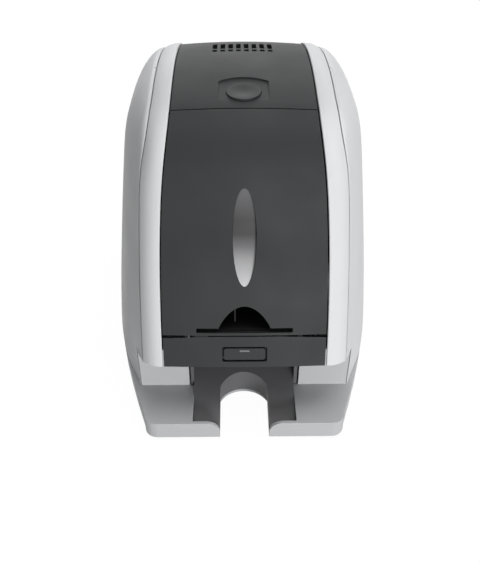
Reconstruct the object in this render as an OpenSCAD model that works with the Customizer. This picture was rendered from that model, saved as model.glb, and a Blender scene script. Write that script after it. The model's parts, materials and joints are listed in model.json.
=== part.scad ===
// Desktop ID card printer: hinged front cover, rear card hopper and front output tray.
// Millimetres, +Z up, the front looks along -Y, the origin is on the table below the
// middle of the overall box.

/* [Front face] */
// Height of the rubber feet
foot_h = 3; // [2:0.5:5]
// Distance from the tray lip to the rear of the card hopper
body_l = 350; // [340:1:380]
// Setback of the lower edge of the front face behind the tray lip
face_setback = 12; // [10:0.5:16]
// Height of the lower edge of the front face
face_z = 53.6; // [50:0.2:58]
// Backward lean of the front face in degrees
lean = 18; // [14:0.5:22]
// Length of the flat part of the front face
face_len = 119.2; // [100:0.2:140]
// Radius of the nose between the front face and the top
nose_r = 40; // [34:1:46]
// Radius of the domed top
top_r = 190; // [160:5:230]
// Radius of the roll down to the rear panel
rear_r = 80; // [70:1:90]

/* [Covers] */
// Wall of the moulded covers
wall = 2.5; // [2:0.1:3]
// Gap between neighbouring covers
cover_gap = 0.8; // [0.6:0.1:1.2]
// Rise of the dark covers in their middle
crown = 1.5; // [0.5:0.1:2]
// Half width of the dark covers at the lower edge
dark_w = 48.9; // [46:0.1:52]
// Half width of the silver trims at the lower edge
trim_w = 62; // [60:0.5:66]
// Half width of the body at its widest
body_w = 90; // [84:0.5:94]

/* [Card path] */
// Width of a card
card_w = 53.98; // [53.98:0.01:54.1]
// Length of a card
card_l = 85.6; // [85.5:0.01:85.8]
// Gap between a drive roller and its pinch roller
card_gap = 0.8; // [0.7:0.05:1]
// Height of the underside of a card in the path
path_z = 58; // [57:0.2:59]
// Radius of the feed rollers
feed_r = 6; // [5:0.25:6.5]
// Radius of the pinch rollers
pinch_r = 5; // [4:0.25:5.5]
// Radius of the roller shafts
shaft_r = 3; // [2.5:0.1:3]
// Running clearance of shafts in their bushes
run_fit = 0.05; // [0.02:0.01:0.08]

/* [Front details] */
// Width of the manual card slot
slot_w = 57; // [56:0.5:60]
// Height of the manual card slot
slot_h = 3; // [2.5:0.25:4]
// Half width of the thumb arch over the slot
arch_w = 15.3; // [12:0.1:18]
// Height of the thumb arch
arch_h = 14; // [10:0.5:16]
// Length of the lens-shaped inlay
lens_l = 57.6; // [50:0.2:62]
// Width of the lens-shaped inlay
lens_w = 13.6; // [11:0.2:16]
// Width of the control button
key_w = 24.7; // [22:0.1:30]
// Height of the control button
key_h = 7.6; // [7:0.1:9]

/* [Tray] */
// Height of the tray lip
lip_z = 15.7; // [14:0.1:18]
// Half width of the tray at the lip
tray_w = 60.6; // [56:0.2:64]
// Half width of the output hopper
hopper_w = 32.5; // [31:0.25:34]
// Half width of the thumb notch
notch_w = 15.5; // [13:0.25:18]
// Length of the thumb notch
notch_l = 38.4; // [34:0.2:42]

/* [Hidden] */

front_y = -body_l / 2;
rear_y = body_l / 2;
base_z = foot_h;

// Side view of the covers: a leaning face, a nose arc, a domed top, a rear roll and a line
h_face = 90 - lean;
h_top = 14;
h_rear = -19;
h_back = -82;
function normal(h) = [-sin(h), cos(h)];
function along(h) = [cos(h), sin(h)];
p_face = [front_y + face_setback, face_z];
p_nose = p_face + face_len * along(h_face);
c_nose = p_nose - nose_r * normal(h_face);
p_top = c_nose + nose_r * normal(h_top);
c_top = p_top - top_r * normal(h_top);
p_rear = c_top + top_r * normal(h_rear);
c_rear = p_rear - rear_r * normal(h_rear);
p_back = c_rear + rear_r * normal(h_back);
back_len = (p_back[1] - base_z) / cos(90 + h_back);

// Heading of the side profile at station s: 0 to 1 face, then nose, top, rear roll, back
function heading(s) = s < 1 ? h_face
    : s < 2 ? h_face + (h_top - h_face) * (s - 1)
    : s < 3 ? h_top + (h_rear - h_top) * (s - 2)
    : s < 4 ? h_rear + (h_back - h_rear) * (s - 3) : h_back;
// Point of the side profile at station s, a distance off below the surface
function profile(s, off) = s < 1 ? p_face + s * face_len * along(h_face) - off * normal(h_face)
    : s < 2 ? c_nose + (nose_r - off) * normal(heading(s))
    : s < 3 ? c_top + (top_r - off) * normal(heading(s))
    : s < 4 ? c_rear + (rear_r - off) * normal(heading(s))
    : p_back + (s - 4) * back_len * along(h_back) - off * normal(h_back);

// Card path: rollers, side plates and the drive beside them
plate_x = 36;
plate_t = 1.5;
bar_front = -80;
entry_y = 48;
mid_y = 14;
platen_y = -22;
exit_y = -72;
drive_z = path_z - feed_r;
pinch_z = path_z + card_gap + pinch_r;
pinch_shaft_r = 2;
bush_r = 5;
roller_l = 58;
pulley_r = 6.5;
pulley_x = 39.4;
pulley_l = 5;
drives = [entry_y, mid_y, platen_y, exit_y];
pinches = [entry_y, mid_y, exit_y];
supply = [24, 112];
take_up = [-66, 112];
gear_m = 1;
gear_n = 48;
pinion_n = 14;
gear_x = 46.4;
gear_t = 5;
gear_far = (gear_n + pinion_n) / 2 * gear_m + 0.35;
motor_half = 17.5;
motor_z = base_z + wall + motor_half;
motor_p = [mid_y - sqrt(pow(gear_far, 2) - pow(drive_z - motor_z, 2)), motor_z];
mesh_a = atan2(mid_y - motor_p[0], drive_z - motor_z);

// Print head, its guide posts and its lifting cams
post_x = 20;
post_r = 2.5;
cam_p = [platen_y - 16, 124];
cam_rise = 1.5;
cam_r = 5.5;
head_w = 58;
carriage_z = cam_p[1] + cam_r - cam_rise + 0.6;

// Card hopper and its pick roller
hopper_wall = 2.4;
stack_l = card_l + 1.6;
stack_w = card_w + 1.2;
stack_h = 62;
hopper_x = stack_w / 2 + hopper_wall;
stack_y = rear_y - hopper_wall - stack_l;
hopper_top = path_z + stack_h + 2;
neck_w = plate_x - 1;
pick_y = stack_y + 14;
pick_r = 8;
pick_z = path_z - pick_r + 0.5;
pick_x = 30.6;
pick_l = 2.8;

// Sockets at the back: x, z, width, height, and the power switch
sockets = [[-27, 30, 12.4, 11.2], [-8, 30, 16, 13.4], [10, 30, 9.4, 11.4], [27, 30, 13, 19]];

// Stations of the cover edges
// The hinge axis of the front cover lies under the face; the cover's edge laps below it
hinge_u = 22.3;
hinge_s = hinge_u / face_len;
hinge_off = 3.6;
edge_lap = 1.5;
fascia_lap = 2.25;
s_gap = (hinge_u - edge_lap) / face_len;
s_seam = 1.866;
s_end = 3.45;
s_tail = 4 + (p_back[1] - lip_z - cover_gap) / (p_back[1] - base_z);

// Half widths and depths of the dark covers and the trims along the profile
function smooth(x) = let (c = min(1, max(0, x))) c * c * (3 - 2 * c);
function dark_half(s) = s < 1 ? dark_w - 4.8 * pow(max(s, 0), 2.6)
    : dark_w - 4.8 - 3.9 * sin(min(90, 103 * (s - 1)));
function dark_drop(s) = crown;
function trim_half(s) = s < 1 ? trim_w - 4.5 * pow(max(s, 0), 1.8)
    : trim_w - 4.5 - 6.5 * sin(min(90, 90 * (s - 1))) + 5 * smooth(s - 3);
function trim_drop(s) = 8.5 - 5 * smooth(s - 1) + 2 * smooth(s - 3);

// Solid between two grids of points of the same size
module shell(outer, inner) {
    rows = len(outer);
    cols = len(outer[0]);
    half = rows * cols;
    function id(i, j, k) = i * cols + j + k * half;
    skin = [for (i = [0 : rows - 2], j = [0 : cols - 2]) each [
        [id(i, j, 0), id(i, j + 1, 0), id(i + 1, j + 1, 0)],
        [id(i, j, 0), id(i + 1, j + 1, 0), id(i + 1, j, 0)],
        [id(i, j, 1), id(i + 1, j + 1, 1), id(i, j + 1, 1)],
        [id(i, j, 1), id(i + 1, j, 1), id(i + 1, j + 1, 1)]]];
    ends = [for (j = [0 : cols - 2]) each [
        [id(0, j, 0), id(0, j + 1, 1), id(0, j + 1, 0)],
        [id(0, j, 0), id(0, j, 1), id(0, j + 1, 1)],
        [id(rows - 1, j, 0), id(rows - 1, j + 1, 0), id(rows - 1, j + 1, 1)],
        [id(rows - 1, j, 0), id(rows - 1, j + 1, 1), id(rows - 1, j, 1)]]];
    sides = [for (i = [0 : rows - 2]) each [
        [id(i, 0, 0), id(i + 1, 0, 0), id(i + 1, 0, 1)],
        [id(i, 0, 0), id(i + 1, 0, 1), id(i, 0, 1)],
        [id(i, cols - 1, 0), id(i + 1, cols - 1, 1), id(i + 1, cols - 1, 0)],
        [id(i, cols - 1, 0), id(i, cols - 1, 1), id(i + 1, cols - 1, 1)]]];
    polyhedron([for (g = [outer, inner]) for (row = g) each row], concat(skin, ends, sides));
}

// Dark cover skin between two stations
function dark_point(s, t, depth, edge) = let (x = t * (dark_half(s) - edge),
    p = profile(s, dark_drop(s) * t * t + depth)) [x, p[0], p[1]];
module dark_skin(s0, s1, rows, cols = 10, edge = cover_gap / 2) {
    st = [for (i = [0 : rows]) s0 + (s1 - s0) * i / rows];
    tt = [for (j = [0 : cols]) 2 * j / cols - 1];
    shell([for (s = st) [for (t = tt) dark_point(s, t, 0, edge)]],
        [for (s = st) [for (t = tt) dark_point(s, t, wall, edge)]]);
}

// Turns a child drawn flat on the front face, x across and y up the face, into place
module on_face(s, off = 0) {
    p = profile(s, off);
    translate([0, p[0], p[1]]) rotate([90 - lean, 0, 0]) children();
}

// Widest half width of the side covers at a place, less towards the tray, the back and the top
taper_y = -68;
function side_limit(y, z) = let (front = max(0, (taper_y - y) / (taper_y - front_y)),
    rear = max(0, (y - 5) / 90), high = max(0, (z - 10) / 130))
    body_w - (body_w - tray_w) * pow(front, 1.35) - 15 * rear * rear - 15 * pow(high, 1.2);
// Height of the side profile over a place
function profile_z(y) = y < p_nose[0] ? p_face[1] + (y - p_face[0]) / tan(lean)
    : y < p_top[0] ? c_nose[1] + sqrt(max(0, pow(nose_r, 2) - pow(y - c_nose[0], 2)))
    : y < p_rear[0] ? c_top[1] + sqrt(pow(top_r, 2) - pow(y - c_top[0], 2))
    : c_rear[1] + sqrt(max(0, pow(rear_r, 2) - pow(min(y, c_rear[0] + rear_r) - c_rear[0], 2)));
roll_d = 38;
function swell(d) = pow(1 - pow(1 - min(1, max(0, d) / roll_d), 2.4), 0.6);

step_z = face_z - 2.6;
return_y = front_y + 33;
return_w = 67.7;
side_rows = 26;
side_cols = 16;
// Edges of the side cover: low rows stand behind the tray, the others follow the trims
low_z = [lip_z + 0.4, 22, 30, 38, 46, step_z - 3];
function front_edge(i) = i < len(low_z) ? [return_w, return_y, low_z[i]]
    : let (s = 2.36 * pow((i - len(low_z)) / (side_rows - len(low_z)), 1.1),
        p = profile(s, trim_drop(s))) [trim_half(s) + 0.3, p[0], p[1]];
function rear_station(i) = let (z = front_edge(i)[2], z4 = profile(4, trim_drop(4))[1])
    z < z4 ? 4 + (z4 - z) / (z4 - base_z)
    : let (i4 = max([for (k = [0 : side_rows]) front_edge(k)[2] < z4 ? k : 0]))
        4 - 1.56 * (i - i4) / (side_rows - i4);
function rear_edge(i) = let (s = rear_station(i), p = profile(s, trim_drop(s)))
    [trim_half(s) + 0.3, p[0], p[1]];
function side_point(i, j, depth) = let (a = front_edge(i), b = rear_edge(i),
    t = (1 - cos(180 * j / side_cols)) / 2, q = a + (b - a) * t, run = b[1] - a[1],
    df = max(0.01, t * run), dr = max(0.01, (1 - t) * run),
    dt = max(0.01, profile_z(q[1]) - 3 - q[2]),
    d = pow(pow(df, -3) + pow(dr, -3) + pow(dt, -3), -1 / 3),
    rim = a[0] + (b[0] - a[0]) * t, x = rim + max(0, side_limit(q[1], q[2]) - rim) * swell(d),
    shift = depth * (1 - 2 * t))
    [depth > 0 ? max(x - depth, rim) : x, q[1] + shift, q[2] - depth * smooth((q[2] - 60) / 120)];
module side_cover() {
    shell([for (i = [0 : side_rows]) [for (j = [side_cols : -1 : 0]) side_point(i, j, 0)]],
        [for (i = [0 : side_rows]) [for (j = [side_cols : -1 : 0]) side_point(i, j, wall)]]);
}

// Silver trim beside the dark covers, raised a little over them and rolled to the crease
function trim_point(s, t, depth) = let (w0 = dark_half(s) + cover_gap / 2, w1 = trim_half(s),
    o0 = dark_drop(s) - 0.9, o1 = trim_drop(s) - 0.9 * smooth(1.4 - s),
    p = profile(s, o0 + (o1 - o0) * pow(t, 2.4) + depth)) [w0 + (w1 - w0) * t, p[0], p[1]];
trim_rows = 34;
trim_cols = 6;
module trim() {
    st = [for (i = [0 : trim_rows]) s_tail * i / trim_rows];
    shell([for (s = st) [for (j = [0 : trim_cols]) trim_point(s, j / trim_cols, 0)]],
        [for (s = st) [for (j = [0 : trim_cols]) trim_point(s, j / trim_cols, wall)]]);
}

// Plan of the case, a distance in from its outside, from the lip to the back of the floor
floor_y = 78;
corner_r = 8;
rear_rim = rear_edge(0);
function case_half(y) = let (limit = side_limit(y, lip_z), d = rear_rim[1] - y)
    d > 0 ? rear_rim[0] + (limit - rear_rim[0]) * swell(d) : rear_rim[0] + d;
// Places along the side of the case, closer together where it turns in to the back
side_turn = 20;
function side_places(y0, y1) = concat([for (k = [0 : 9]) y0 + (side_turn - y0) * k / 10],
    [for (k = [0 : 12]) side_turn + (y1 - side_turn) * sin(90 * k / 12)]);
module case_plan(inset, y0 = front_y, y1 = floor_y) {
    side = [for (y = side_places(y0 + corner_r, y1)) [case_half(y) - inset, min(y, y1 - inset)]];
    bend = [for (a = [-90 : 15 : -15]) [case_half(y0 + corner_r) - corner_r
        + (corner_r - inset) * cos(a), y0 + corner_r + (corner_r - inset) * sin(a)]];
    half = concat(bend, side);
    polygon(concat(half, [for (k = [len(half) - 1 : -1 : 0]) [-half[k][0], half[k][1]]]));
}

notch_r = 17.2;
module notch_cut(h) {
    back = front_y + notch_l;
    translate([0, 0, -1]) linear_extrude(h) intersection() {
        translate([-notch_w, front_y - 5]) square([2 * notch_w, notch_l + 10]);
        union() {
            translate([0, back - notch_r]) circle(notch_r, $fn = 64);
            translate([-notch_w, front_y - 5]) square([2 * notch_w, notch_l + 5 - notch_r]);
        }
    }
}

// Rounds the top of the lip down to the notch
lip_round = 8.5;
module lip_corners() for (x = [-1, 1]) translate([0, front_y + 5, 0]) rotate([90, 0, 0])
    linear_extrude(10) difference() {
        translate([x > 0 ? notch_w - 1 : -notch_w - lip_round, lip_z - lip_round])
            square([lip_round + 1, lip_round + 1]);
        translate([x * (notch_w + lip_round), lip_z - lip_round]) circle(lip_round, $fn = 64);
    }

deck_y = front_y + 33;
rim_w = 2.4;
hopper_back = front_y + 92;
exit_w = 35.7;
return_top = step_z - 3.4;
module lower_case() color("#c9cacc") {
    difference() {
        translate([0, 0, base_z]) linear_extrude(lip_z - base_z) case_plan(0);
        translate([0, 0, base_z - 1]) linear_extrude(lip_z - base_z - wall + 1)
            intersection() {
                case_plan(wall);
                union() {
                    translate([hopper_w + 2 * rim_w, front_y]) square([100, 300]);
                    translate([-100 - hopper_w - 2 * rim_w, front_y]) square([100, 300]);
                    translate([-100, hopper_back + wall]) square([200, 300]);
                }
            }
        // Pocket of the tray liner: its walls stand under the deck in front and rise behind it
        translate([-hopper_w - rim_w, front_y + rim_w, base_z + 2])
            cube([2 * (hopper_w + rim_w), hopper_back - front_y - rim_w, lip_z - wall - base_z - 2]);
        translate([-hopper_w, front_y + rim_w, lip_z - wall - 1])
            cube([2 * hopper_w, hopper_back - front_y - rim_w, 60]);
        translate([-hopper_w - rim_w, deck_y, lip_z - wall - 1])
            cube([2 * (hopper_w + rim_w), hopper_back - deck_y, 60]);
        translate([-100, hopper_back + wall, lip_z - wall - 1])
            cube([200, 300, wall + 2]);
        notch_cut(80);
        lip_corners();
        for (x = [-1, 1], y = foot_y) translate([x * foot_x, y, 0])
            cylinder(r = screw_r, h = 30, $fn = 32);
    }
    // Floor of the chassis bay
    difference() {
        translate([0, 0, base_z]) linear_extrude(wall) intersection() {
            case_plan(wall + 0.01);
            translate([-100, hopper_back + wall]) square([200, 300]);
        }
        for (x = [-1, 1], y = foot_y) translate([x * foot_x, y, 0])
            cylinder(r = screw_r, h = 30, $fn = 32);
        for (k = [0 : 9]) translate([-30 + k * 6, 20, 0]) cube([2.5, 40, 10]);
    }
    for (x = [-1, 1], y = foot_y) translate([x * foot_x, y, base_z]) difference() {
        cylinder(r = 5, h = lip_z - wall - base_z + 0.5, $fn = 48);
        translate([0, 0, -1]) cylinder(r = screw_r, h = 20, $fn = 32);
    }
    // Upright faces beside the card exit, with walls that run back past the hopper
    for (x = [-1, 1]) {
        translate([x > 0 ? exit_w : -return_w + 0.4, deck_y, lip_z])
            cube([return_w - exit_w - 0.4, wall, return_top - lip_z]);
        translate([x > 0 ? exit_w : -exit_w - rim_w, deck_y + wall - 0.01, lip_z])
            cube([rim_w, hopper_back - deck_y - wall, return_top - lip_z]);
    }
}

foot_x = 50;
foot_y = [front_y + 45, floor_y - 20];
screw_r = 1.7;
foot_r = 8;
module rubber_feet() color("#222222") for (x = [-1, 1], y = foot_y)
    translate([x * foot_x, y, 0]) difference() {
        cylinder(r1 = foot_r - 1, r2 = foot_r, h = base_z, $fn = 48);
        translate([0, 0, -1]) cylinder(r = 3.4, h = 2.2, $fn = 32);
        translate([0, 0, -1]) cylinder(r = screw_r, h = 9, $fn = 32);
    }
module base_screws() color("#9a9a9a") for (x = [-1, 1], y = foot_y)
    translate([x * foot_x, y, 0.4]) union() {
        cylinder(r = 3.1, h = 0.8, $fn = 32);
        cylinder(r = 1.5, h = 9, $fn = 32);
    }

tray_slope = 22;
hopper_clear = 0.3;
module output_hopper() color("#4b4b4d") {
    w = hopper_w + rim_w - hopper_clear;
    y0 = front_y + rim_w + hopper_clear;
    l = hopper_back - y0 - hopper_clear;
    difference() {
        translate([-w, y0, base_z + 2 + hopper_clear]) cube([2 * w, l, 33]);
        // Sloping floor inside the liner
        translate([0, y0, base_z + 4.4]) rotate([tray_slope, 0, 0])
            translate([-hopper_w, -20, 0]) cube([2 * hopper_w, 200, 60]);
        // Side walls stay under the deck in front of the upright faces
        for (x = [-1, 1]) translate([x > 0 ? hopper_w - 0.01 : -100, front_y, lip_z - wall - hopper_clear])
            cube([100 - hopper_w + 0.01, deck_y - front_y + hopper_clear, 60]);
        translate([-100, front_y, lip_z - lip_round]) cube([200, rim_w + 2, 60]);
        notch_cut(80);
        // Hollow underside
        translate([0, y0, base_z + 4.4 - wall]) rotate([tray_slope, 0, 0])
            translate([-hopper_w, 40, -60]) cube([2 * hopper_w, 80, 60]);
    }
}

// Covers
module left_side_cover() color("#b9babc") mirror([1, 0, 0]) side_cover();
module right_side_cover() color("#b9babc") side_cover();
module left_trim() color("#d6d7d9") mirror([1, 0, 0]) trim();
module right_trim() color("#d6d7d9") trim();

dish_s = 2.087;
dish_r = 14.2;
dish_depth = 1.2;
button_r = 10.3;
// Rows of cooling slots: station of the front end and length
vents = [[2.577, 4.5], [2.642, 15.5]];
vent_w = 3;
vent_pitch = 4.9;
vent_n = 8;
// Turns a child to stand on the top cover at a station, x across and y backward
module on_top(s, off = 0) {
    p = profile(s, off);
    translate([0, p[0], p[1]]) rotate([heading(s), 0, 0]) children();
}
module top_cover() color("#5b5c5e") difference() {
    dark_skin(s_seam + 0.004, s_end, 18);
    on_top(dish_s) translate([0, 0, -dish_depth]) cylinder(r = dish_r, h = 5, $fn = 96);
    on_top(dish_s) translate([0, 0, -20]) cylinder(r = button_r + 0.3, h = 30, $fn = 64);
    for (k = [0 : vent_n - 1], v = vents) on_top(v[0])
        translate([(k - (vent_n - 1) / 2) * vent_pitch - vent_w / 2, 0, -10]) cube([vent_w, v[1], 20]);
}

module rear_cover() color("#5b5c5e") difference() {
    dark_skin(s_end + 0.006, s_tail, 8);
    // Opening for the card hopper
    translate([-neck_w, 0, path_z - 22]) cube([2 * neck_w, 200, 86]);
    // Cut-outs for the sockets and the power switch
    for (k = sockets) translate([k[0] - k[2] / 2 - 0.3, 40, k[1] - k[3] / 2 - 0.3])
        cube([k[2] + 0.6, 60, k[3] + 0.6]);
}

module fascia() color("#3f4041") difference() {
    dark_skin(0, (hinge_u - fascia_lap) / face_len, 3);
    on_face(key_s) translate([0, 0, -10]) linear_extrude(20)
        rounded(key_w + 2 * key_gap, key_h + 2 * key_gap, 1.2);
    hinge_place() rotate([0, 90, 0]) cylinder(r = hinge_off + 0.45, h = 200, center = true, $fn = 64);
}

// Front cover and its hinge: knuckles near the lower corners turn on fixed pins
hinge_r = 1.9;
pin_r = 1;
knuckle_x = 35.6;
knuckle_l = 4;
ear_gap = 0.4;
ear_t = 2.2;
module hinge_place() on_face(hinge_s, hinge_off) children();
slot_s = (hinge_u + 1.6) / face_len;
lens_s = (hinge_u + 29.2 + lens_l / 2) / face_len;
lens_r = (pow(lens_l / 2, 2) + pow(lens_w / 2, 2)) / lens_w;
module lens_outline(grow) intersection_for (x = [-1, 1])
    translate([x * (lens_r - lens_w / 2), 0]) circle(lens_r + grow, $fn = 180);
module arch_outline(grow) polygon(concat([for (k = [0 : 14]) let (a = 180 * k / 14)
    [(arch_w + grow) * cos(a), (arch_h + grow) * pow(sin(a), 1.15)]]));
module front_cover() color("#454648") difference() {
    dark_skin(s_gap, s_seam - 0.012, 24);
    on_face(slot_s) translate([-slot_w / 2, -slot_h / 2, -20]) cube([slot_w, slot_h, 40]);
    on_face(slot_s) translate([0, slot_h / 2 - 0.01, -20]) linear_extrude(40) arch_outline(0);
    on_face(lens_s) translate([0, 0, -20]) linear_extrude(40) lens_outline(0);
    // Inside pockets that clear the knuckles and the ears
    for (x = [-1, 1]) hinge_place() translate([x * (knuckle_x + 4), 0, 0]) rotate([0, 90, 0])
        cylinder(r = hinge_r + 0.3, h = 9, center = true, $fn = 48);
}
// The inlay is a scoop curved only along its length, deepest in the middle
lens_depth = 2.4;
lens_t = 4.2;
scoop_r = (pow(lens_l / 2, 2) + pow(lens_depth, 2)) / (2 * lens_depth);
module lens_inlay() color("#8d8e90") on_face(lens_s, 0.2) difference() {
    translate([0, 0, -lens_t]) linear_extrude(lens_t) lens_outline(-0.15);
    translate([0, 0, scoop_r - lens_depth]) rotate([0, 90, 0])
        cylinder(r = scoop_r, h = lens_w + 10, center = true, $fn = 360);
}
module cover_hinge_frame() color("#2e2f30") {
    for (x = [-1, 1]) difference() {
        union() {
            hinge_place() translate([x > 0 ? knuckle_x : -knuckle_x - knuckle_l, 0, 0])
                rotate([0, 90, 0]) cylinder(r = hinge_r, h = knuckle_l, $fn = 48);
            translate([x > 0 ? knuckle_x : -knuckle_x - knuckle_l, 0, 0]) arm_blade();
        }
        hinge_place() rotate([0, 90, 0]) cylinder(r = pin_r + run_fit, h = 100, center = true, $fn = 48);
    }
    bar = profile(1.45, 9);
    translate([-knuckle_x - 0.5, bar[0] - 2, bar[1] - 3]) cube([2 * knuckle_x + 1, 4, 6]);
    // Striker plate whose window takes the nose of the latch hook
    difference() {
        translate([-striker_w / 2, bar[0] - 1, striker_z]) cube([striker_w, latch_y + 3 - bar[0], 2.5]);
        translate([-hook_w / 2 - 1, latch_y - 2.3, striker_z - 1]) cube([hook_w + 2, 3.6, 5]);
    }
}
striker_w = 22;
// Flat arm that follows the inside of the front cover
module arm_blade() {
    top = wall + crown + 0.3;
    outer = [for (s = [hinge_s + 0.05, 0.3, 0.5, 0.75, 1, 1.15, 1.3, 1.45]) profile(s, top)];
    inner = [for (s = [1.45, 1.3, 1.15, 1, 0.75, 0.5, 0.3, hinge_s + 0.02]) profile(s, top + 4.8)];
    rotate([90, 0, 90]) linear_extrude(knuckle_l) polygon(concat(outer, inner,
        [profile(hinge_s - 0.004, hinge_off + 1.6), profile(hinge_s + 0.004, hinge_off - 0.8)]));
}
// Fixed hinge pins with the ears that hold them behind the fascia
module hinge_pins() color("#a8a9ab") for (x = [-1, 1]) {
    hinge_place() translate([x > 0 ? knuckle_x + 0.4 : -knuckle_x - knuckle_l - ear_gap - ear_t, 0, 0])
        rotate([0, 90, 0]) cylinder(r = pin_r, h = knuckle_l + ear_gap + ear_t - 0.4, $fn = 48);
    hinge_place() translate([x > 0 ? knuckle_x + knuckle_l + ear_gap : -knuckle_x - knuckle_l - ear_gap - ear_t,
        0, 0]) rotate([90, 0, 90]) linear_extrude(ear_t) {
        circle(1.6, $fn = 32);
        polygon([[0, -1.6], [1.2, 0], [-4, -1], [-6, -0.6], [-15, -0.6], [-15, -4.5], [-5, -4.5]]);
    }
}

// Open button in the dish, its spring and the latch
latch_y = -104.5;
striker_z = 174.5;
hook_w = 10;
pivot = [-82.4, 170.5];
pivot_r = 1.5;
push_v = -4;
shelf_w = -17;
button_h = 7;
button_drop = 0.8;
button_flange = 2;
module open_button() color("#58595b") {
    on_top(dish_s) difference() {
        union() {
            translate([0, 0, -button_h - 0.4]) cylinder(r = button_r, h = button_h + 0.4 - button_drop, $fn = 64);
            translate([0, 0, -button_h - button_flange]) cylinder(r = button_r + 1.4, h = button_flange, $fn = 64);
        }
        // Hollow finger dish across the cap
        translate([0, 6, 21.6]) sphere(r = 22.8, $fn = 96);
        translate([0, 0, -button_h - 4]) cylinder(r = button_r - 2.4, h = 4 + button_h - 4.4, $fn = 64);
    }
    on_top(dish_s) translate([0, push_v, -20]) cylinder(r = 2, h = 16, $fn = 32);
}
module button_spring() color("#b0b0b0") on_top(dish_s) translate([0, push_v, shelf_w + 0.05])
    difference() {
        cylinder(r = 3.6, h = -button_h - button_flange - shelf_w - 0.15, $fn = 32);
        translate([0, 0, -1]) cylinder(r = 2.8, h = 12, $fn = 32);
    }
// Steel bracket on the front cross bar with the hook's pin and a shelf for the spring
module latch_bracket() color("#9b9c9e") {
    for (x = [-1, 1]) translate([x > 0 ? 6 : -8, 0, 0]) rotate([90, 0, 90]) linear_extrude(2)
        polygon([[bar_front, 160], [bar_front, 177.6], [-94, 175], [-94, 173.4], [-87, 167], [-84, 160]]);
    translate([-8, bar_front - 1.5, 160]) cube([16, 1.5, 6]);
    on_top(dish_s) difference() {
        translate([-8, -9, shelf_w - 1.5]) cube([16, 13, 1.5]);
        translate([0, push_v, shelf_w - 4]) cylinder(r = 2.3, h = 8, $fn = 32);
    }
    translate([-8, pivot[0], pivot[1]]) rotate([0, 90, 0]) cylinder(r = pivot_r, h = 16, $fn = 32);
}
module latch_hook() color("#d0d0d0") difference() {
    translate([-hook_w / 2, 0, 0]) rotate([90, 0, 90]) linear_extrude(hook_w) {
        translate(pivot) circle(3, $fn = 48);
        polygon([pivot + [0, -3], pivot + [0.6, 2.9], [-88.5, 174.7], [-93, 173.4], [latch_y + 3, 172.6],
            [latch_y + 0.9, striker_z - 0.4], [latch_y - 1.5, striker_z - 0.4], [latch_y - 1.5, 169.8],
            [-95, 169.2]]);
    }
    translate([0, pivot[0], pivot[1]]) rotate([0, 90, 0])
        cylinder(r = pivot_r + run_fit, h = 40, center = true, $fn = 32);
}

// Control button with its light bar
key_s = 8.5 / face_len;
key_t = wall + 0.35;
key_flange = 1.2;
key_gap = 1.1;
module rounded(w, h, r) {
    square([w - 2 * r, h], center = true);
    square([w, h - 2 * r], center = true);
    for (x = [-1, 1], y = [-1, 1]) translate([x * (w / 2 - r), y * (h / 2 - r)]) circle(r, $fn = 32);
}
bar_w = 6;
bar_h = 1.3;
bar_up = 2;
module control_button() color("#3b3c3d") on_face(key_s) difference() {
    union() {
        translate([0, 0, -key_t]) linear_extrude(key_t - 0.2) rounded(key_w, key_h, 1.4);
        translate([0, 0, -key_t - key_flange]) linear_extrude(key_flange)
            rounded(key_w + 2 * key_gap + 1.6, key_h + 2 * key_gap + 1.2, 1.4);
    }
    translate([-bar_w / 2 - 0.05, bar_up - bar_h / 2 - 0.05, -20]) cube([bar_w + 0.1, bar_h + 0.1, 40]);
    translate([-key_w / 2 + 1.6, -key_h / 2 + 1.6, -key_t - key_flange - 1])
        cube([key_w - 3.2, key_h - 3.2, key_t - 1]);
}
module light_bar() color("#6a6b6d") on_face(key_s)
    translate([-bar_w / 2, bar_up - bar_h / 2, -key_t]) cube([bar_w, bar_h, key_t - 0.2]);
// Small board behind the fascia with the switch that the button presses
module button_board() color("#2d5a3a") on_face(key_s) {
    translate([-22, -6.5, -14.6]) cube([44, 13, 1.6]);
    translate([-3, -4.8, -13]) cube([6, 5.4, 3.4]);
    for (x = [-1, 1]) translate([x * 18.5 - 2, -6.5, -13]) cube([4, 13, 13 - wall - 0.6]);
}

// Black guide behind the manual slot, sloping down to the exit rollers
slot_p = profile(slot_s, 0);
guide_w = 60;
guide_y = [slot_p[0] + 8, exit_y - 8];
guide_fall = atan((slot_p[1] - slot_h / 2 - path_z) / (exit_y - slot_p[0]));
module slot_guide() color("#1c1c1c") {
    guide_channel();
    lever_mount();
    // Ears that rest against the front edges of the side plates
    for (x = [-1, 1]) translate([x * 33.5 - 3.5, bar_front - 16, 63]) cube([7, 16, 9]);
}
module guide_channel() difference() {
    translate([0, slot_p[0], slot_p[1]]) rotate([-guide_fall, 0, 0])
        translate([-guide_w / 2 - 2, 0, -slot_h / 2 - 2]) cube([guide_w + 4, 78, slot_h + 20]);
    translate([0, slot_p[0], slot_p[1]]) rotate([-guide_fall, 0, 0])
        translate([-slot_w / 2, -5, -slot_h / 2]) cube([slot_w, 90, 60]);
    // Follows the inside of the front cover
    translate([0, 0, 0]) on_face(0, wall + crown + 1) translate([-100, -50, 0]) cube([200, 300, 100]);
    translate([-100, exit_y - 14, 0]) cube([200, 100, 200]);
    on_face(0.15) translate([-100, -60, -60]) cube([200, 59, 100]);
}
lever_x = -5.6;
lever_p = [slot_p[0] + 16, slot_p[1] + 14];
module sensor_lever() color("#9a9a9a") translate([lever_x, lever_p[0], lever_p[1]]) {
    rotate([0, 90, 0]) difference() {
        cylinder(r = 2.2, h = 3, center = true, $fn = 32);
        cylinder(r = 1 + run_fit, h = 5, center = true, $fn = 32);
    }
    translate([-0.5, -6, -0.6]) cube([1, 4.4, 1.2]);
    translate([-0.5, -6.6, -15]) cube([1, 1.2, 15.6]);
}
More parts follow.
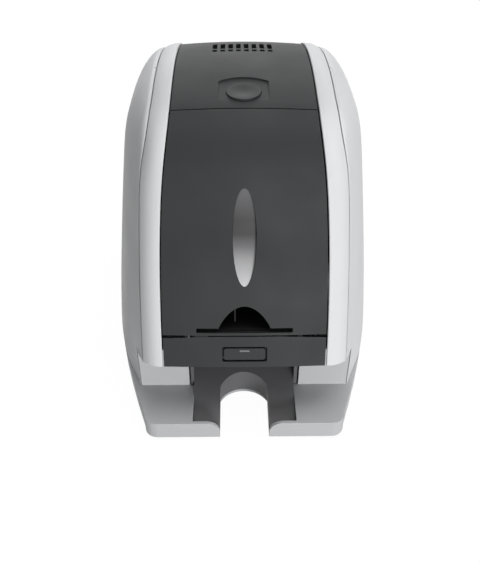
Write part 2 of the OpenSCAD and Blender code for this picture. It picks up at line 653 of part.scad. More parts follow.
module lever_mount() translate([lever_x, lever_p[0], lever_p[1]]) {
    rotate([0, 90, 0]) cylinder(r = 1, h = 12, center = true, $fn = 32);
    for (x = [-1, 1]) translate([x * 4.6 - 1, -1.8, -1.8]) cube([2, 5, 3.6]);
    translate([-guide_w / 2 - lever_x, 3, -2]) cube([guide_w, 3, 4]);
}

// Card path: side plates, rollers and their drive
module side_plate() difference() {
    translate([plate_x - plate_t / 2, 0, 0]) rotate([90, 0, 90]) linear_extrude(plate_t) polygon([
        [bar_front, base_z + wall], [60, base_z + wall], [60, 100], [38, 146], [-20, 168], [bar_front, 168]]);
    for (y = drives) translate([0, y, drive_z]) rotate([0, 90, 0]) cylinder(r = bush_r, h = 100, $fn = 48);
    for (y = pinches) translate([0, y, pinch_z]) rotate([0, 90, 0])
        cylinder(r = pinch_shaft_r + 1, h = 100, $fn = 48);
    for (p = [supply, take_up]) translate([0, p[0], p[1]]) rotate([0, 90, 0])
        cylinder(r = 6.4, h = 100, $fn = 48);
    translate([0, motor_p[0], motor_p[1]]) rotate([0, 90, 0]) cylinder(r = 8, h = 100, $fn = 48);
    translate([0, cam_p[0], cam_p[1]]) rotate([0, 90, 0]) cylinder(r = 3 + run_fit, h = 100, $fn = 48);
    // Lightening windows over the card path
    for (y = [-48, -18]) translate([30, y, 78]) cube([10, 24, 20]);
}
module left_side_plate() color("#9b9c9e") mirror([1, 0, 0]) side_plate();
module right_side_plate() color("#9b9c9e") side_plate();
// Cross bars between the side plates: y, lower z, depth, height
bars = [[bar_front, 160, 4, 8], [platen_y - 6, 164, 12, 4], [30, 138, 8, 4], [50, 8, 6, 20], [-79, 8, 4, 24]];
module cross_bars() color("#9b9c9e") difference() {
    for (b = bars) translate([-plate_x + plate_t / 2, b[0], b[1]])
        cube([2 * plate_x - plate_t, b[2], b[3]]);
    for (x = [-1, 1]) translate([x * post_x, platen_y, 100]) cylinder(r = post_r, h = 100, $fn = 32);
}
// Flanged bushes that carry the driven and the pinch shafts
module bush(y, z, r_in, r_out) for (x = [-1, 1]) translate([x * plate_x, y, z])
    rotate([0, x * 90, 0]) difference() {
        union() {
            translate([0, 0, -plate_t / 2 - 1.5]) cylinder(r = r_out, h = plate_t + 1.5, $fn = 48);
            translate([0, 0, -plate_t / 2 - 1.5]) cylinder(r = r_out + 0.9, h = 1.5, $fn = 48);
        }
        translate([0, 0, -10]) cylinder(r = r_in + run_fit, h = 20, $fn = 48);
    }
module shaft_bushes() color("#d9d4c4") {
    for (y = drives) bush(y, drive_z, shaft_r, bush_r);
    for (y = pinches) bush(y, pinch_z, pinch_shaft_r, pinch_shaft_r + 1);
}
module roller(y, z, r, r_shaft, x0, x1) translate([0, y, z]) rotate([0, 90, 0]) {
    translate([0, 0, -roller_l / 2]) cylinder(r = r, h = roller_l, $fn = 64);
    translate([0, 0, x0]) cylinder(r = r_shaft, h = x1 - x0, $fn = 48);
}
module flanged_pulley(y, z) translate([pulley_x, y, z]) rotate([0, 90, 0]) {
    cylinder(r = pulley_r, h = pulley_l, $fn = 64);
    translate([0, 0, -0.6]) cylinder(r = pulley_r + 1.6, h = 0.6, $fn = 64);
}
module drive_roller(y) {
    roller(y, drive_z, feed_r, shaft_r, -plate_x - 3, pulley_x + pulley_l);
    flanged_pulley(y, drive_z);
}
module entry_roller() color("#6b2e2a") {
    drive_roller(entry_y);
    translate([-pick_x - pick_l, entry_y, drive_z]) rotate([0, 90, 0]) cylinder(r = 4.4, h = pick_l, $fn = 48);
}
module mid_roller() color("#6b2e2a") {
    roller(mid_y, drive_z, feed_r, shaft_r, -plate_x - 3, gear_x + gear_t + 1);
    flanged_pulley(mid_y, drive_z);
}
module platen_roller() color("#2b2b2b") drive_roller(platen_y);
module exit_roller() color("#6b2e2a") drive_roller(exit_y);
module pinch(y) roller(y, pinch_z, pinch_r, pinch_shaft_r, -plate_x - 1.5, plate_x + 1.5);
module entry_pinch_roller() color("#8a8b8d") pinch(entry_y);
module cleaning_roller() color("#c9852f") pinch(mid_y);
module exit_pinch_roller() color("#8a8b8d") pinch(exit_y);
belt_t = 1.2;
belt_gap = 0.3;
module loop(ya, yb, za, zb, ra, rb) {
    translate([ya, za]) circle(ra, $fn = 64);
    translate([yb, zb]) circle(rb, $fn = 64);
    tilt = atan2(zb - za, yb - ya);
    run = norm([yb - ya, zb - za]);
    spread = asin((ra - rb) / run);
    polygon([for (k = [[1, ya, za, ra], [1, yb, zb, rb], [-1, yb, zb, rb], [-1, ya, za, ra]])
        [k[1] + k[3] * cos(tilt + k[0] * (90 - spread)), k[2] + k[3] * sin(tilt + k[0] * (90 - spread))]]);
}
module belt(x, w, ya, yb, za, zb, ra, rb) translate([x, 0, 0]) rotate([90, 0, 90])
    linear_extrude(w) difference() {
        loop(ya, yb, za, zb, ra + belt_t, rb + belt_t);
        loop(ya, yb, za, zb, ra, rb);
    }
module drive_belts() color("#202020") {
    drive_belt();
    pick_belt();
}
module drive_belt() belt(pulley_x + 0.4, pulley_l - 0.8, exit_y, entry_y, drive_z,
    drive_z, pulley_r + belt_gap, pulley_r + belt_gap);

// Spur gear with straight-sided teeth, thinned for backlash
module gear(n, m, t, bore, phase) {
    rp = n * m / 2;
    step = 360 / n;
    linear_extrude(t) difference() {
        polygon([for (k = [0 : n - 1], c = [[-0.33, -1.2], [-0.14, 0.85], [0.14, 0.85], [0.33, -1.2]])
            let (r = rp + c[1] * m, a = (k + c[0] + phase) * step) [r * cos(a), r * sin(a)]]);
        circle(bore, $fn = 48);
    }
}
module drive_gear() color("#e6e2d3") translate([gear_x, mid_y, drive_z]) rotate([0, 90, 0])
    rotate(180 - mesh_a + 180) difference() {
        union() {
            gear(gear_n, gear_m, gear_t, shaft_r, 0);
            translate([0, 0, gear_t]) difference() {
                cylinder(r = 6, h = 2, $fn = 48);
                translate([0, 0, -1]) cylinder(r = shaft_r, h = 4, $fn = 48);
            }
        }
        for (a = [0 : 60 : 300]) rotate(a) translate([13.5, 0, -1]) cylinder(r = 4, h = 20, $fn = 32);
    }
module motor_pinion() color("#c9a648") translate([gear_x - 0.5, motor_p[0], motor_p[1]])
    rotate([0, 90, 0]) rotate(180 - mesh_a) gear(pinion_n, gear_m, gear_t + 1, 2.5 + run_fit, 0.5);
module transport_motor() color("#303133") {
    translate([6, motor_p[0], motor_p[1]]) rotate([0, 90, 0]) {
        translate([0, 0, 0]) linear_extrude(plate_x - plate_t / 2 - 6) rounded(2 * motor_half, 2 * motor_half, 4);
        cylinder(r = 7.6, h = plate_x + plate_t / 2 - 6, $fn = 48);
        cylinder(r = 2.5, h = gear_x + gear_t + 1 - 6, $fn = 48);
    }
}

// Print head on its lifting carriage
module print_head() color("#c7c9cc") {
    translate([-head_w / 2, platen_y - 5, path_z + 1.9]) cube([head_w, 10, 2]);
    difference() {
        translate([-head_w / 2, platen_y - 6, path_z + 3.9]) cube([head_w, 12, 20]);
        for (k = [0 : 11]) translate([-head_w / 2 + 3.6 + k * 4.6, platen_y - 10, path_z + 7]) {
            cube([2.2, 6, 14]);
            translate([0, 14, 0]) cube([2.2, 6, 14]);
        }
    }
}
module head_carriage() color("#9b9c9e") difference() {
    union() {
        translate([-head_w / 2, platen_y - 3, path_z + 23.9]) cube([head_w, 6, carriage_z - path_z - 23.9 + 1]);
        translate([-head_w / 2, platen_y - 22, carriage_z]) cube([head_w, 29, 4]);
        for (x = [-1, 1]) translate([x * post_x, platen_y, carriage_z - 8]) cylinder(r = 5, h = 14, $fn = 48);
    }
    for (x = [-1, 1]) translate([x * post_x, platen_y, carriage_z - 30])
        cylinder(r = post_r + run_fit, h = 60, $fn = 48);
    translate([-12, platen_y - 10, path_z + 34]) cube([24, 20, 26]);
}
module head_guide_posts() color("#d4d5d7") for (x = [-1, 1])
    translate([x * post_x, platen_y, carriage_z - 12]) cylinder(r = post_r, h = 164 + 4 - carriage_z + 12, $fn = 48);
module head_cam_shaft() color("#d8d8d8") translate([0, cam_p[0], cam_p[1]]) rotate([0, 90, 0]) {
    translate([0, 0, -plate_x - 3]) cylinder(r = 3, h = 2 * plate_x + 6, $fn = 48);
    for (x = [-1, 1]) translate([cam_rise, 0, x * 14 - 3]) cylinder(r = cam_r, h = 6, $fn = 64);
}

// Ribbon cassette, spools and film
arm_x = 31;
arm_t = 2;
core_r = 5;
supply_r = 17;
take_r = 13;
guide_r = 2.4;
guides = [[platen_y + 15, path_z + 11], [platen_y - 15, path_z + 11]];
module cassette_arm() rotate([90, 0, 90]) linear_extrude(arm_t) difference() {
    union() {
        for (p = [supply, take_up]) translate(p) circle(10, $fn = 64);
        for (g = guides) translate(g) circle(5, $fn = 48);
        polygon([supply + [10, 0], supply + [6, 8], take_up + [-6, 8], take_up + [-10, 0], take_up + [-7, -7],
            guides[1] + [-5, -2], guides[1] + [4, -3], [platen_y - 9, 94], [platen_y + 9, 94],
            guides[0] + [-4, -3], guides[0] + [5, -2], supply + [7, -7]]);
    }
    for (p = [supply, take_up]) translate(p) circle(core_r + run_fit, $fn = 48);
    // Room for the head carriage, open to the top
    translate([platen_y - 26, carriage_z - 14]) square([38, 60]);
}
module ribbon_cassette() color("#3a6ea5") {
    translate([arm_x, 0, 0]) cassette_arm();
    translate([-arm_x - arm_t, 0, 0]) cassette_arm();
    for (g = guides) translate([-arm_x - 0.5, g[0], g[1]]) rotate([0, 90, 0])
        cylinder(r = guide_r, h = 2 * arm_x + 1, $fn = 32);
}
module spool(p, r) translate([0, p[0], p[1]]) rotate([0, 90, 0]) {
    translate([0, 0, -29.5]) cylinder(r = r, h = 59, $fn = 96);
    for (x = [-1, 1]) translate([0, 0, x * 30 - 0.5]) cylinder(r = r + 1.4, h = 1, $fn = 96);
    translate([0, 0, -plate_x - 1]) cylinder(r = core_r, h = plate_x + 1, $fn = 48);
}
module supply_spool() color("#26324a") {
    spool(supply, supply_r);
    translate([0, supply[0], supply[1]]) rotate([0, 90, 0]) cylinder(r = core_r, h = plate_x + 1, $fn = 48);
}
film_t = 0.3;
film_w = 57;
film_bend = 2.6;
// The film comes down from each spool, round a guide bar and flat under the print head
film_side = [[supply_r + 1.2, 1], [film_bend + 0.6, -0.3], [film_bend - 0.8, -guide_r - 0.3]];
module ribbon_film() color("#1d1d25") {
    low = [supply + [-film_side[0][0], 1], guides[0] + film_side[1], guides[0] + film_side[2],
        [platen_y + 6, path_z + 1.3]];
    high = [[platen_y - 6, path_z + 1.3], guides[1] + [-film_side[2][0], film_side[2][1]],
        guides[1] + [-film_side[1][0], film_side[1][1]], take_up + [take_r + 0.8, 1]];
    translate([-film_w / 2, 0, 0]) rotate([90, 0, 90]) linear_extrude(film_w)
        polygon(concat(low, high, [for (k = [3 : -1 : 0]) high[k] + (k == 0 ? [0, film_t] : [film_t, film_t])],
            [for (k = [3 : -1 : 0]) low[k] + (k == 3 ? [0, film_t] : [-film_t, film_t])]));
}
ribbon_n = 40;
ribbon_pinion_n = 12;
ribbon_m = 0.8;
ribbon_x = 39;
ribbon_t = 4;
ribbon_far = (ribbon_n + ribbon_pinion_n) / 2 * ribbon_m + 0.3;
ribbon_p = take_up - [0, ribbon_far];
module take_up_spool() color("#26324a") {
    spool(take_up, take_r);
    translate([0, take_up[0], take_up[1]]) rotate([0, 90, 0]) {
        cylinder(r = core_r, h = ribbon_x + ribbon_t + 1, $fn = 48);
        translate([0, 0, ribbon_x]) gear(ribbon_n, ribbon_m, ribbon_t, core_r - 0.5, 0);
    }
}
module ribbon_pinion() color("#c9a648") translate([ribbon_x - 0.5, ribbon_p[0], ribbon_p[1]])
    rotate([0, 90, 0]) gear(ribbon_pinion_n, ribbon_m, ribbon_t + 1, 1.5 + run_fit, 0.5);
module ribbon_motor() color("#303133") {
    translate([ribbon_x + ribbon_t + 3, ribbon_p[0], ribbon_p[1]]) rotate([0, 90, 0]) {
        cylinder(r = 11, h = 24, $fn = 64);
        translate([0, 0, -ribbon_t - 4]) cylinder(r = 1.5, h = 10, $fn = 32);
    }
    translate([ribbon_x + ribbon_t + 1.5, ribbon_p[0] - 14, ribbon_p[1] - 14]) cube([1.6, 28, 20]);
    for (y = [-12, 12]) translate([plate_x + plate_t / 2, ribbon_p[0] + y, ribbon_p[1] - 12])
        rotate([0, 90, 0]) cylinder(r = 2, h = ribbon_x + ribbon_t + 1.6 - plate_x - plate_t / 2, $fn = 32);
}

// Guide rails along the card path, fixed to the side plates
module card_guide_rails() color("#2b2b2b") for (x = [-1, 1], r = [[-62, -32], [-12, 4], [24, 38]])
    translate([x > 0 ? card_w / 2 - 2 : -plate_x + plate_t / 2, r[0], path_z - 3])
        cube([plate_x - plate_t / 2 - card_w / 2 + 2, r[1] - r[0], 3]);

// Electronics
module main_board() color("#1f5c38") {
    translate([-62, -60, 20]) cube([1.6, 108, 96]);
    for (y = [-52, 40], z = [28, 92]) translate([-60.4, y, z]) rotate([0, 90, 0])
        cylinder(r = 2.2, h = 60.4 - plate_x - plate_t / 2, $fn = 32);
    translate([-64, -30, 60]) cube([2, 22, 22]);
    for (k = [0 : 3]) translate([-72, 10 + k * 9, 30]) rotate([0, 90, 0]) cylinder(r = 3.6, h = 10.2, $fn = 32);
    for (k = [0 : 2]) translate([-68, -50 + k * 20, 100]) cube([6, 14, 8]);
}
module power_supply() color("#b8b9bb") difference() {
    translate([54, -52, base_z + wall]) cube([23, 100, 42]);
    for (k = [0 : 8]) translate([50, -46 + k * 10.4, 20]) cube([40, 4, 20]);
}
fan_c = [0, -24];
fan_z = 168;
module fan_housing() color("#2a2a2b") translate([fan_c[0], fan_c[1], fan_z]) {
    difference() {
        linear_extrude(10) rounded(40, 40, 3);
        translate([0, 0, -1]) cylinder(r = 18.6, h = 20, $fn = 96);
        for (x = [-1, 1], y = [-1, 1]) translate([x * 16.5, y * 16.5, -1]) cylinder(r = 1.6, h = 20, $fn = 32);
    }
    cylinder(r = 8, h = 1.5, $fn = 48);
    for (a = [0 : 90 : 270]) rotate(a + 45) translate([6, -1, 0]) cube([13.5, 2, 1.5]);
    cylinder(r = 1.5, h = 8, $fn = 32);
}
module fan_rotor() color("#39393b") translate([fan_c[0], fan_c[1], fan_z + 2]) difference() {
    union() {
        cylinder(r = 8.5, h = 7.4, $fn = 64);
        for (k = [0 : 6]) rotate(k * 360 / 7) translate([7.5, 0, 3.6]) rotate([35, 0, 0])
            translate([0, -4, -0.6]) cube([10, 8, 1.2]);
    }
    translate([0, 0, -1]) cylinder(r = 1.5 + run_fit, h = 20, $fn = 32);
}

function rear_plane(z) = p_back[0] + (p_back[1] - z) / tan(-h_back);
socket_y = rear_plane(sockets[0][1]) - wall - 1;
module socket_shells() for (k = [0 : 2]) let (q = sockets[k]) difference() {
    translate([q[0] - q[2] / 2, socket_y - 16, q[1] - q[3] / 2]) cube([q[2], 19, q[3]]);
    if (k < 2) translate([q[0] - q[2] / 2 + 1.2, socket_y - 10, q[1] - q[3] / 2 + 1.2])
        cube([q[2] - 2.4, 19, q[3] - 2.4]);
    if (k == 2) translate([q[0], socket_y - 10, q[1]]) rotate([-90, 0, 0]) cylinder(r = 3.2, h = 40, $fn = 48);
}
module rear_sockets() color("#8f9092") {
    socket_shells();
    switch_frame();
}
// Frame of the power switch with the pin that the rocker turns on
module switch_frame() {
    difference() {
        translate([switch_q[0] - switch_q[2] / 2, socket_y - 16, switch_q[1] - switch_q[3] / 2])
            cube([switch_q[2], 17.5, switch_q[3]]);
        translate([switch_q[0] - switch_q[2] / 2 + 1.4, socket_y - 12, switch_q[1] - switch_q[3] / 2 + 1.2])
            cube([switch_q[2] - 2.8, 19, switch_q[3] - 2.4]);
    }
    translate([switch_q[0], rocker_y - 1.6, switch_q[1]]) rotate([0, 90, 0])
        cylinder(r = 1, h = switch_q[2] - 2, center = true, $fn = 32);
}
switch_q = sockets[3];
rocker_y = rear_plane(switch_q[1]) - wall - 2;
module power_switch() color("#1d1d1e") translate([switch_q[0], rocker_y, switch_q[1]]) rotate([90, 0, 90])
    linear_extrude(switch_q[2] - 3.4, center = true) difference() {
        polygon([[-5, -5.4], [1.6, -7.2], [3.4, -7.2], [2.6, 0], [4.6, 7.2], [2.8, 7.2], [-5, 5.4]]);
        translate([-1.6, 0]) circle(1 + run_fit, $fn = 32);
    }

// Card hopper at the back
module card_hopper() color("#4b4b4d") {
    hopper_box();
    lid_pin();
}
module hopper_box() difference() {
    union() {
        translate([-hopper_x, stack_y - hopper_wall, path_z - hopper_wall])
            cube([2 * hopper_x, stack_l + 2 * hopper_wall, stack_h + 2 + hopper_wall]);
        translate([-hopper_x, entry_y + 9, path_z - hopper_wall]) cube([2 * hopper_x, stack_y - entry_y - 9, hopper_wall]);
        // Lugs that carry the pick roller
        for (x = [-1, 1]) translate([x > 0 ? hopper_x - hopper_wall : -hopper_x, pick_y - 6, pick_z - 6])
            cube([hopper_wall, 12, path_z - pick_z + 5]);
    }
    translate([-stack_w / 2, stack_y, path_z]) cube([stack_w, stack_l, stack_h + 10]);
    // Gap that lets one card out, and the window of the pick roller
    translate([-stack_w / 2, stack_y - 10, path_z]) cube([stack_w, 20, 1.3]);
    translate([-roller_l / 2 + 3, pick_y - pick_r - 0.6, path_z - 10]) cube([roller_l - 6, 2 * pick_r + 1.2, 12]);
    translate([-50, pick_y, pick_z]) rotate([0, 90, 0]) cylinder(r = shaft_r + run_fit, h = 100, $fn = 48);
    // Notch at the back for taking the stack out
    translate([0, rear_y - 10, path_z + 34]) rotate([-90, 0, 0]) cylinder(r = 14, h = 20, $fn = 64);
    translate([-14, rear_y - 10, path_z + 34]) cube([28, 20, 60]);
}
module pick_roller() color("#6b2e2a") translate([0, pick_y, pick_z]) rotate([0, 90, 0]) {
    translate([0, 0, -22]) cylinder(r = pick_r, h = 44, $fn = 64);
    translate([0, 0, -pick_x - pick_l]) cylinder(r = shaft_r, h = 2 * pick_x + pick_l, $fn = 48);
    translate([0, 0, -pick_x - pick_l]) cylinder(r = 4.4, h = pick_l, $fn = 48);
}
module pick_belt() belt(-pick_x - pick_l + 0.2, pick_l - 0.4, entry_y, pick_y, drive_z,
    pick_z, 4.7, 4.7);
// Weight that rides on the stack, in slots of its own
module card_weight() color("#b8b9bb") difference() {
    translate([-stack_w / 2 + 0.5, stack_y + 3, path_z + 1]) cube([stack_w - 1, stack_l - 8, 5]);
    translate([-10, stack_y + 28, path_z + 3]) cube([20, 24, 10]);
}
lid_t = 2.4;
lid_axis = [stack_y + 0.5, hopper_top + 3.1];
knuckle_w = 36;
module hopper_lid() color("#5b5c5e") difference() {
    union() {
        translate([-hopper_x, lid_axis[0] + 3, hopper_top + 0.4])
            cube([2 * hopper_x, rear_y - lid_axis[0] - 3, lid_t]);
        translate([-knuckle_w / 2, lid_axis[0] - 0.8, hopper_top + 0.4]) cube([knuckle_w, 5, lid_t]);
        translate([-knuckle_w / 2, lid_axis[0], lid_axis[1]]) rotate([0, 90, 0])
            cylinder(r = 2.6, h = knuckle_w, $fn = 48);
    }
    translate([-50, lid_axis[0], lid_axis[1]]) rotate([0, 90, 0])
        cylinder(r = 1.2 + run_fit, h = 100, $fn = 48);
    // Finger scoop at the back edge
    translate([0, rear_y + 6, hopper_top]) cylinder(r = 14, h = 20, $fn = 64);
}
module lid_pin() {
    translate([-24, lid_axis[0], lid_axis[1]]) rotate([0, 90, 0]) cylinder(r = 1.2, h = 48, $fn = 48);
    for (x = [-1, 1]) translate([x * 22 - 1.5, lid_axis[0] - 1.9, hopper_top]) cube([3, 3.8, 5]);
}

lower_case();
left_side_cover();
right_side_cover();
left_trim();
right_trim();
top_cover();
rear_cover();
fascia();
output_hopper();
rubber_feet();
base_screws();
left_side_plate();
right_side_plate();
cross_bars();
shaft_bushes();
card_guide_rails();
front_cover();
cover_hinge_frame();
lens_inlay();
hinge_pins();
open_button();
button_spring();
latch_hook();
latch_bracket();
control_button();
light_bar();
button_board();
slot_guide();
sensor_lever();
entry_roller();
mid_roller();
platen_roller();
exit_roller();
pick_roller();
entry_pinch_roller();
cleaning_roller();
exit_pinch_roller();
drive_belts();
drive_gear();
transport_motor();
motor_pinion();
print_head();
head_carriage();
head_guide_posts();
head_cam_shaft();
ribbon_cassette();
supply_spool();
take_up_spool();
ribbon_film();
ribbon_motor();
ribbon_pinion();
main_board();
power_supply();
fan_housing();
fan_rotor();
rear_sockets();
power_switch();
card_hopper();
hopper_lid();
card_weight();
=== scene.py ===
# Desktop ID card printer: finished surfaces, materials, light and camera round the CAD model.
# Lengths are millimetres until a mesh is made, and metres in Blender. +Z is up, -Y the front.
import json
import math

import bpy
import bmesh
import numpy as np
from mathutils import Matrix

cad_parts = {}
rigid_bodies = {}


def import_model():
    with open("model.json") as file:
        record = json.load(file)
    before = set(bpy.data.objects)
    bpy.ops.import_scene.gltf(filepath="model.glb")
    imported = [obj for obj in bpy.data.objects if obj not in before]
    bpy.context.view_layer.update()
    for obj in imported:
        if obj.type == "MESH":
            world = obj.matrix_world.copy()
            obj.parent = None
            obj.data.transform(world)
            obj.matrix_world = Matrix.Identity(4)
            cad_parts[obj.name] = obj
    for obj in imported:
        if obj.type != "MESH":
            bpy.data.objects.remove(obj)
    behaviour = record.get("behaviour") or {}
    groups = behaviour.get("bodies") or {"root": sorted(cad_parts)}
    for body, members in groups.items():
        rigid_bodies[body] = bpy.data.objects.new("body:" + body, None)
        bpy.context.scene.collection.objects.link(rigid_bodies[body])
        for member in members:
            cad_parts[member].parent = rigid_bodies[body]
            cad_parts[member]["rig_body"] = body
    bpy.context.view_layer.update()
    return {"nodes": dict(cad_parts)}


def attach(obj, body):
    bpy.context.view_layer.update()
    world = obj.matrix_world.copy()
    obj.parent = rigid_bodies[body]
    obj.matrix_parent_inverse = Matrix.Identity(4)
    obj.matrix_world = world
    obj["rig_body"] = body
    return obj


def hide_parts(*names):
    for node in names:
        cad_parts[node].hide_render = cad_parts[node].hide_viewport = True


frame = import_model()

MM = 0.001
scene = bpy.context.scene

# ---------------------------------------------------------------- camera
PHOTO_H = 562
FOCAL_PX = 668
SENSOR = 36.0
CAMERA_AT = (-0.0054, -0.4437, 0.3446)
PITCH = 38.68
YAW = 0.54

camera_data = bpy.data.cameras.new("camera")
camera_data.sensor_width = SENSOR
camera_data.lens = FOCAL_PX / PHOTO_H * SENSOR
camera_data.clip_start = 0.01
camera_data.clip_end = 20
camera = bpy.data.objects.new("camera", camera_data)
camera.location = CAMERA_AT
camera.rotation_euler = (math.radians(90 - PITCH), 0, math.radians(-YAW))
scene.collection.objects.link(camera)
scene.camera = camera

# ---------------------------------------------------------------- sizes of the case
FRONT_Y = -175.0
FACE_Y = FRONT_Y + 12.0
BASE_Z = 3.0
WALL = 2.5
GAP = 0.8
# Drop of the dark covers from their middle line to their edges
CROWN = 1.5
# Lean of the face from upright in degrees, its length, and the radii of the nose, the top and the roll
LEAN = 18.0
FACE_LEN = 119.2
NOSE_R, TOP_R, REAR_R = 40.0, 190.0, 80.0
# Half widths at the foot of the face, at the widest line and at the tray
DARK_W, TRIM_W, BODY_W, TRAY_W = 48.9, 62.0, 90.0, 60.6
FACE_Z = 53.6
LIP_Z = 15.7
# Headings of the profile in degrees: up the face, onto the top, onto the roll and down the back
HEADINGS = (90 - LEAN, 14.0, -19.0, -82.0)
# The front cover's hinge line up the face, and how far below it the cover starts and the strip ends
HINGE_U = 22.3
EDGE_LAP, FASCIA_LAP = 1.5, 2.25
# Stations of the seam between the front and top covers, and of the top cover's end
S_SEAM, S_END = 1.866, 3.45
# Stations where the front cover ends, and where the top and rear covers start
S_FRONT_END, S_TOP_START, S_REAR_START = S_SEAM - 0.012, S_SEAM + 0.004, S_END + 0.006
# Narrowing of the dark covers and of the trims up the face and over the nose
DARK_UP, DARK_POWER, DARK_OVER, DARK_TURN = 4.8, 2.6, 3.9, 103
TRIM_UP, TRIM_POWER, TRIM_OVER, TRIM_TURN = 4.5, 1.8, 6.5, 90
TRIM_FLARE = 5
# Depth of the crease at the face, what it rises over the nose and what it sinks behind
CREASE_FACE, CREASE_RISE, CREASE_SINK = 8.5, 5, 2


def direction(heading):
    """Unit vector (y, z) along a heading in degrees."""
    a = np.radians(heading)
    return np.stack([np.cos(a), np.sin(a)], -1)


def upright(heading):
    """Unit vector (y, z) square to a heading, to its outer side."""
    a = np.radians(heading)
    return np.stack([-np.sin(a), np.cos(a)], -1)


P_FACE = np.array([FACE_Y, FACE_Z])
P_NOSE = P_FACE + FACE_LEN * direction(HEADINGS[0])
C_NOSE = P_NOSE - NOSE_R * upright(HEADINGS[0])
P_TOP = C_NOSE + NOSE_R * upright(HEADINGS[1])
C_TOP = P_TOP - TOP_R * upright(HEADINGS[1])
P_REAR = C_TOP + TOP_R * upright(HEADINGS[2])
C_REAR = P_REAR - REAR_R * upright(HEADINGS[2])
P_BACK = C_REAR + REAR_R * upright(HEADINGS[3])
BACK_LEN = (P_BACK[1] - BASE_Z) / math.cos(math.radians(90 + HEADINGS[3]))
S_GAP = (HINGE_U - EDGE_LAP) / FACE_LEN
S_FASCIA = (HINGE_U - FASCIA_LAP) / FACE_LEN
S_TAIL = 4 + (P_BACK[1] - LIP_Z - GAP) / (P_BACK[1] - BASE_Z)
# Length along the profile at the whole stations
TURNS = np.radians(-np.diff(HEADINGS))
PART_LENGTHS = np.concatenate([[0, FACE_LEN], np.array([NOSE_R, TOP_R, REAR_R]) * TURNS, [BACK_LEN]])
ARC_LENGTHS = PART_LENGTHS.cumsum()
# Reach of the smoothing of the widths to each side, and how many places it averages
EASE_LENGTH, EASE_STEPS = 18.0, 13


def heading(s):
    """Heading of the side profile: constant on the face and the back, and turning evenly on each arc."""
    s = np.asarray(s, float)
    h = HEADINGS
    turns = [h[0] + 0 * s] + [h[k] + (h[k + 1] - h[k]) * (s - 1 - k) for k in range(3)]
    return np.select([s < 1, s < 2, s < 3, s < 4], turns, h[3])


def profile(s, off=0.0):
    """(y, z) of the side profile at station s, off below it: a line, three arcs and a line end to end."""
    s, off = np.broadcast_arrays(np.asarray(s, float), np.asarray(off, float))
    n = upright(heading(s))
    arcs = [c + (r - off)[..., None] * n for c, r in ((C_NOSE, NOSE_R), (C_TOP, TOP_R), (C_REAR, REAR_R))]
    face = P_FACE + (s * FACE_LEN)[..., None] * direction(HEADINGS[0]) - off[..., None] * n
    back = P_BACK + ((s - 4) * BACK_LEN)[..., None] * direction(HEADINGS[3]) - off[..., None] * n
    return np.select([(s < k + 1)[..., None] for k in range(4)], [face] + arcs, back)


def smooth(x):
    """Cubic ease from 0 to 1."""
    c = np.clip(x, 0, 1)
    return c * c * (3 - 2 * c)


def narrowed(s, wide, up, power, over, turn):
    """Half width that shrinks by up, as a power of the way up the face, and then by over, as the sine of an
    angle that grows by turn degrees for each station round the nose."""
    face = wide - up * np.clip(s, 0, None) ** power
    nose = wide - up - over * np.sin(np.radians(np.minimum(90, turn * (s - 1))))
    return np.where(s < 1, face, nose)


def eased(width, s):
    """Mean of a half width over the stretch of profile within EASE_LENGTH of station s."""
    stations = np.arange(6)
    length = np.interp(s, stations, ARC_LENGTHS)
    shifts = np.linspace(-EASE_LENGTH, EASE_LENGTH, EASE_STEPS)
    return sum(width(np.interp(length + d, ARC_LENGTHS, stations)) for d in shifts) / EASE_STEPS


def dark_half(s):
    """Half width of the dark covers: it narrows up the face and round the nose."""
    return eased(lambda at: narrowed(at, DARK_W, DARK_UP, DARK_POWER, DARK_OVER, DARK_TURN), s)


def trim_half(s):
    """Half width out to the crease between the trims and the side covers. It flares again behind."""
    return eased(lambda at: narrowed(at, TRIM_W, TRIM_UP, TRIM_POWER, TRIM_OVER, TRIM_TURN)
                 + TRIM_FLARE * smooth(at - 3), s)


def trim_drop(s):
    """Depth of the crease below the side profile."""
    return CREASE_FACE - CREASE_RISE * smooth(s - 1) + CREASE_SINK * smooth(s - 3)


def stand(points, s, off=0.0):
    """Points (x, v, w) drawn flat, stood on the profile at station s: v runs along it and w out of it."""
    points = np.asarray(points, float)
    base, a, n = profile(s, off), direction(heading(s)), upright(heading(s))
    yz = base + points[..., 1:2] * a + points[..., 2:3] * n
    return np.concatenate([points[..., :1], yz], -1)


# ---------------------------------------------------------------- meshes
# Edges over EDGE_ANGLE degrees are rounded, and faces within FLAT_ANGLE degrees are merged
EDGE_ANGLE = 38
EDGE_SEGMENTS = 2
FLAT_ANGLE = 0.6
# Metres within which the corners of two triangles are joined
JOIN_DISTANCE = 1e-6


def quads(rows, cols, start=0):
    """Faces of a grid of points stored row by row."""
    i, j = np.meshgrid(np.arange(rows - 1), np.arange(cols - 1), indexing="ij")
    a = (i * cols + j).ravel() + start
    return np.stack([a, a + 1, a + cols + 1, a + cols], -1)


def solid_between(outer, inner):
    """Closed solid between two grids of the same size: both skins, and a strip along each of the rims."""
    rows, cols = outer.shape[:2]
    half = rows * cols
    top, low = quads(rows, cols), quads(rows, cols, half)[:, ::-1]
    j, i = np.arange(cols - 1), np.arange(rows - 1) * cols
    end = (rows - 1) * cols
    first = np.stack([j, j + half, j + 1 + half, j + 1], -1)
    last = np.stack([end + j, end + j + 1, end + j + 1 + half, end + j + half], -1)
    left = np.stack([i, i + cols, i + cols + half, i + half], -1)
    right = np.stack([i, i + half, i + cols + half, i + cols], -1) + [[cols - 1] * 4]
    verts = np.concatenate([outer.reshape(-1, 3), inner.reshape(-1, 3)])
    return verts, np.concatenate([top, low, first, last, left, right]).tolist()


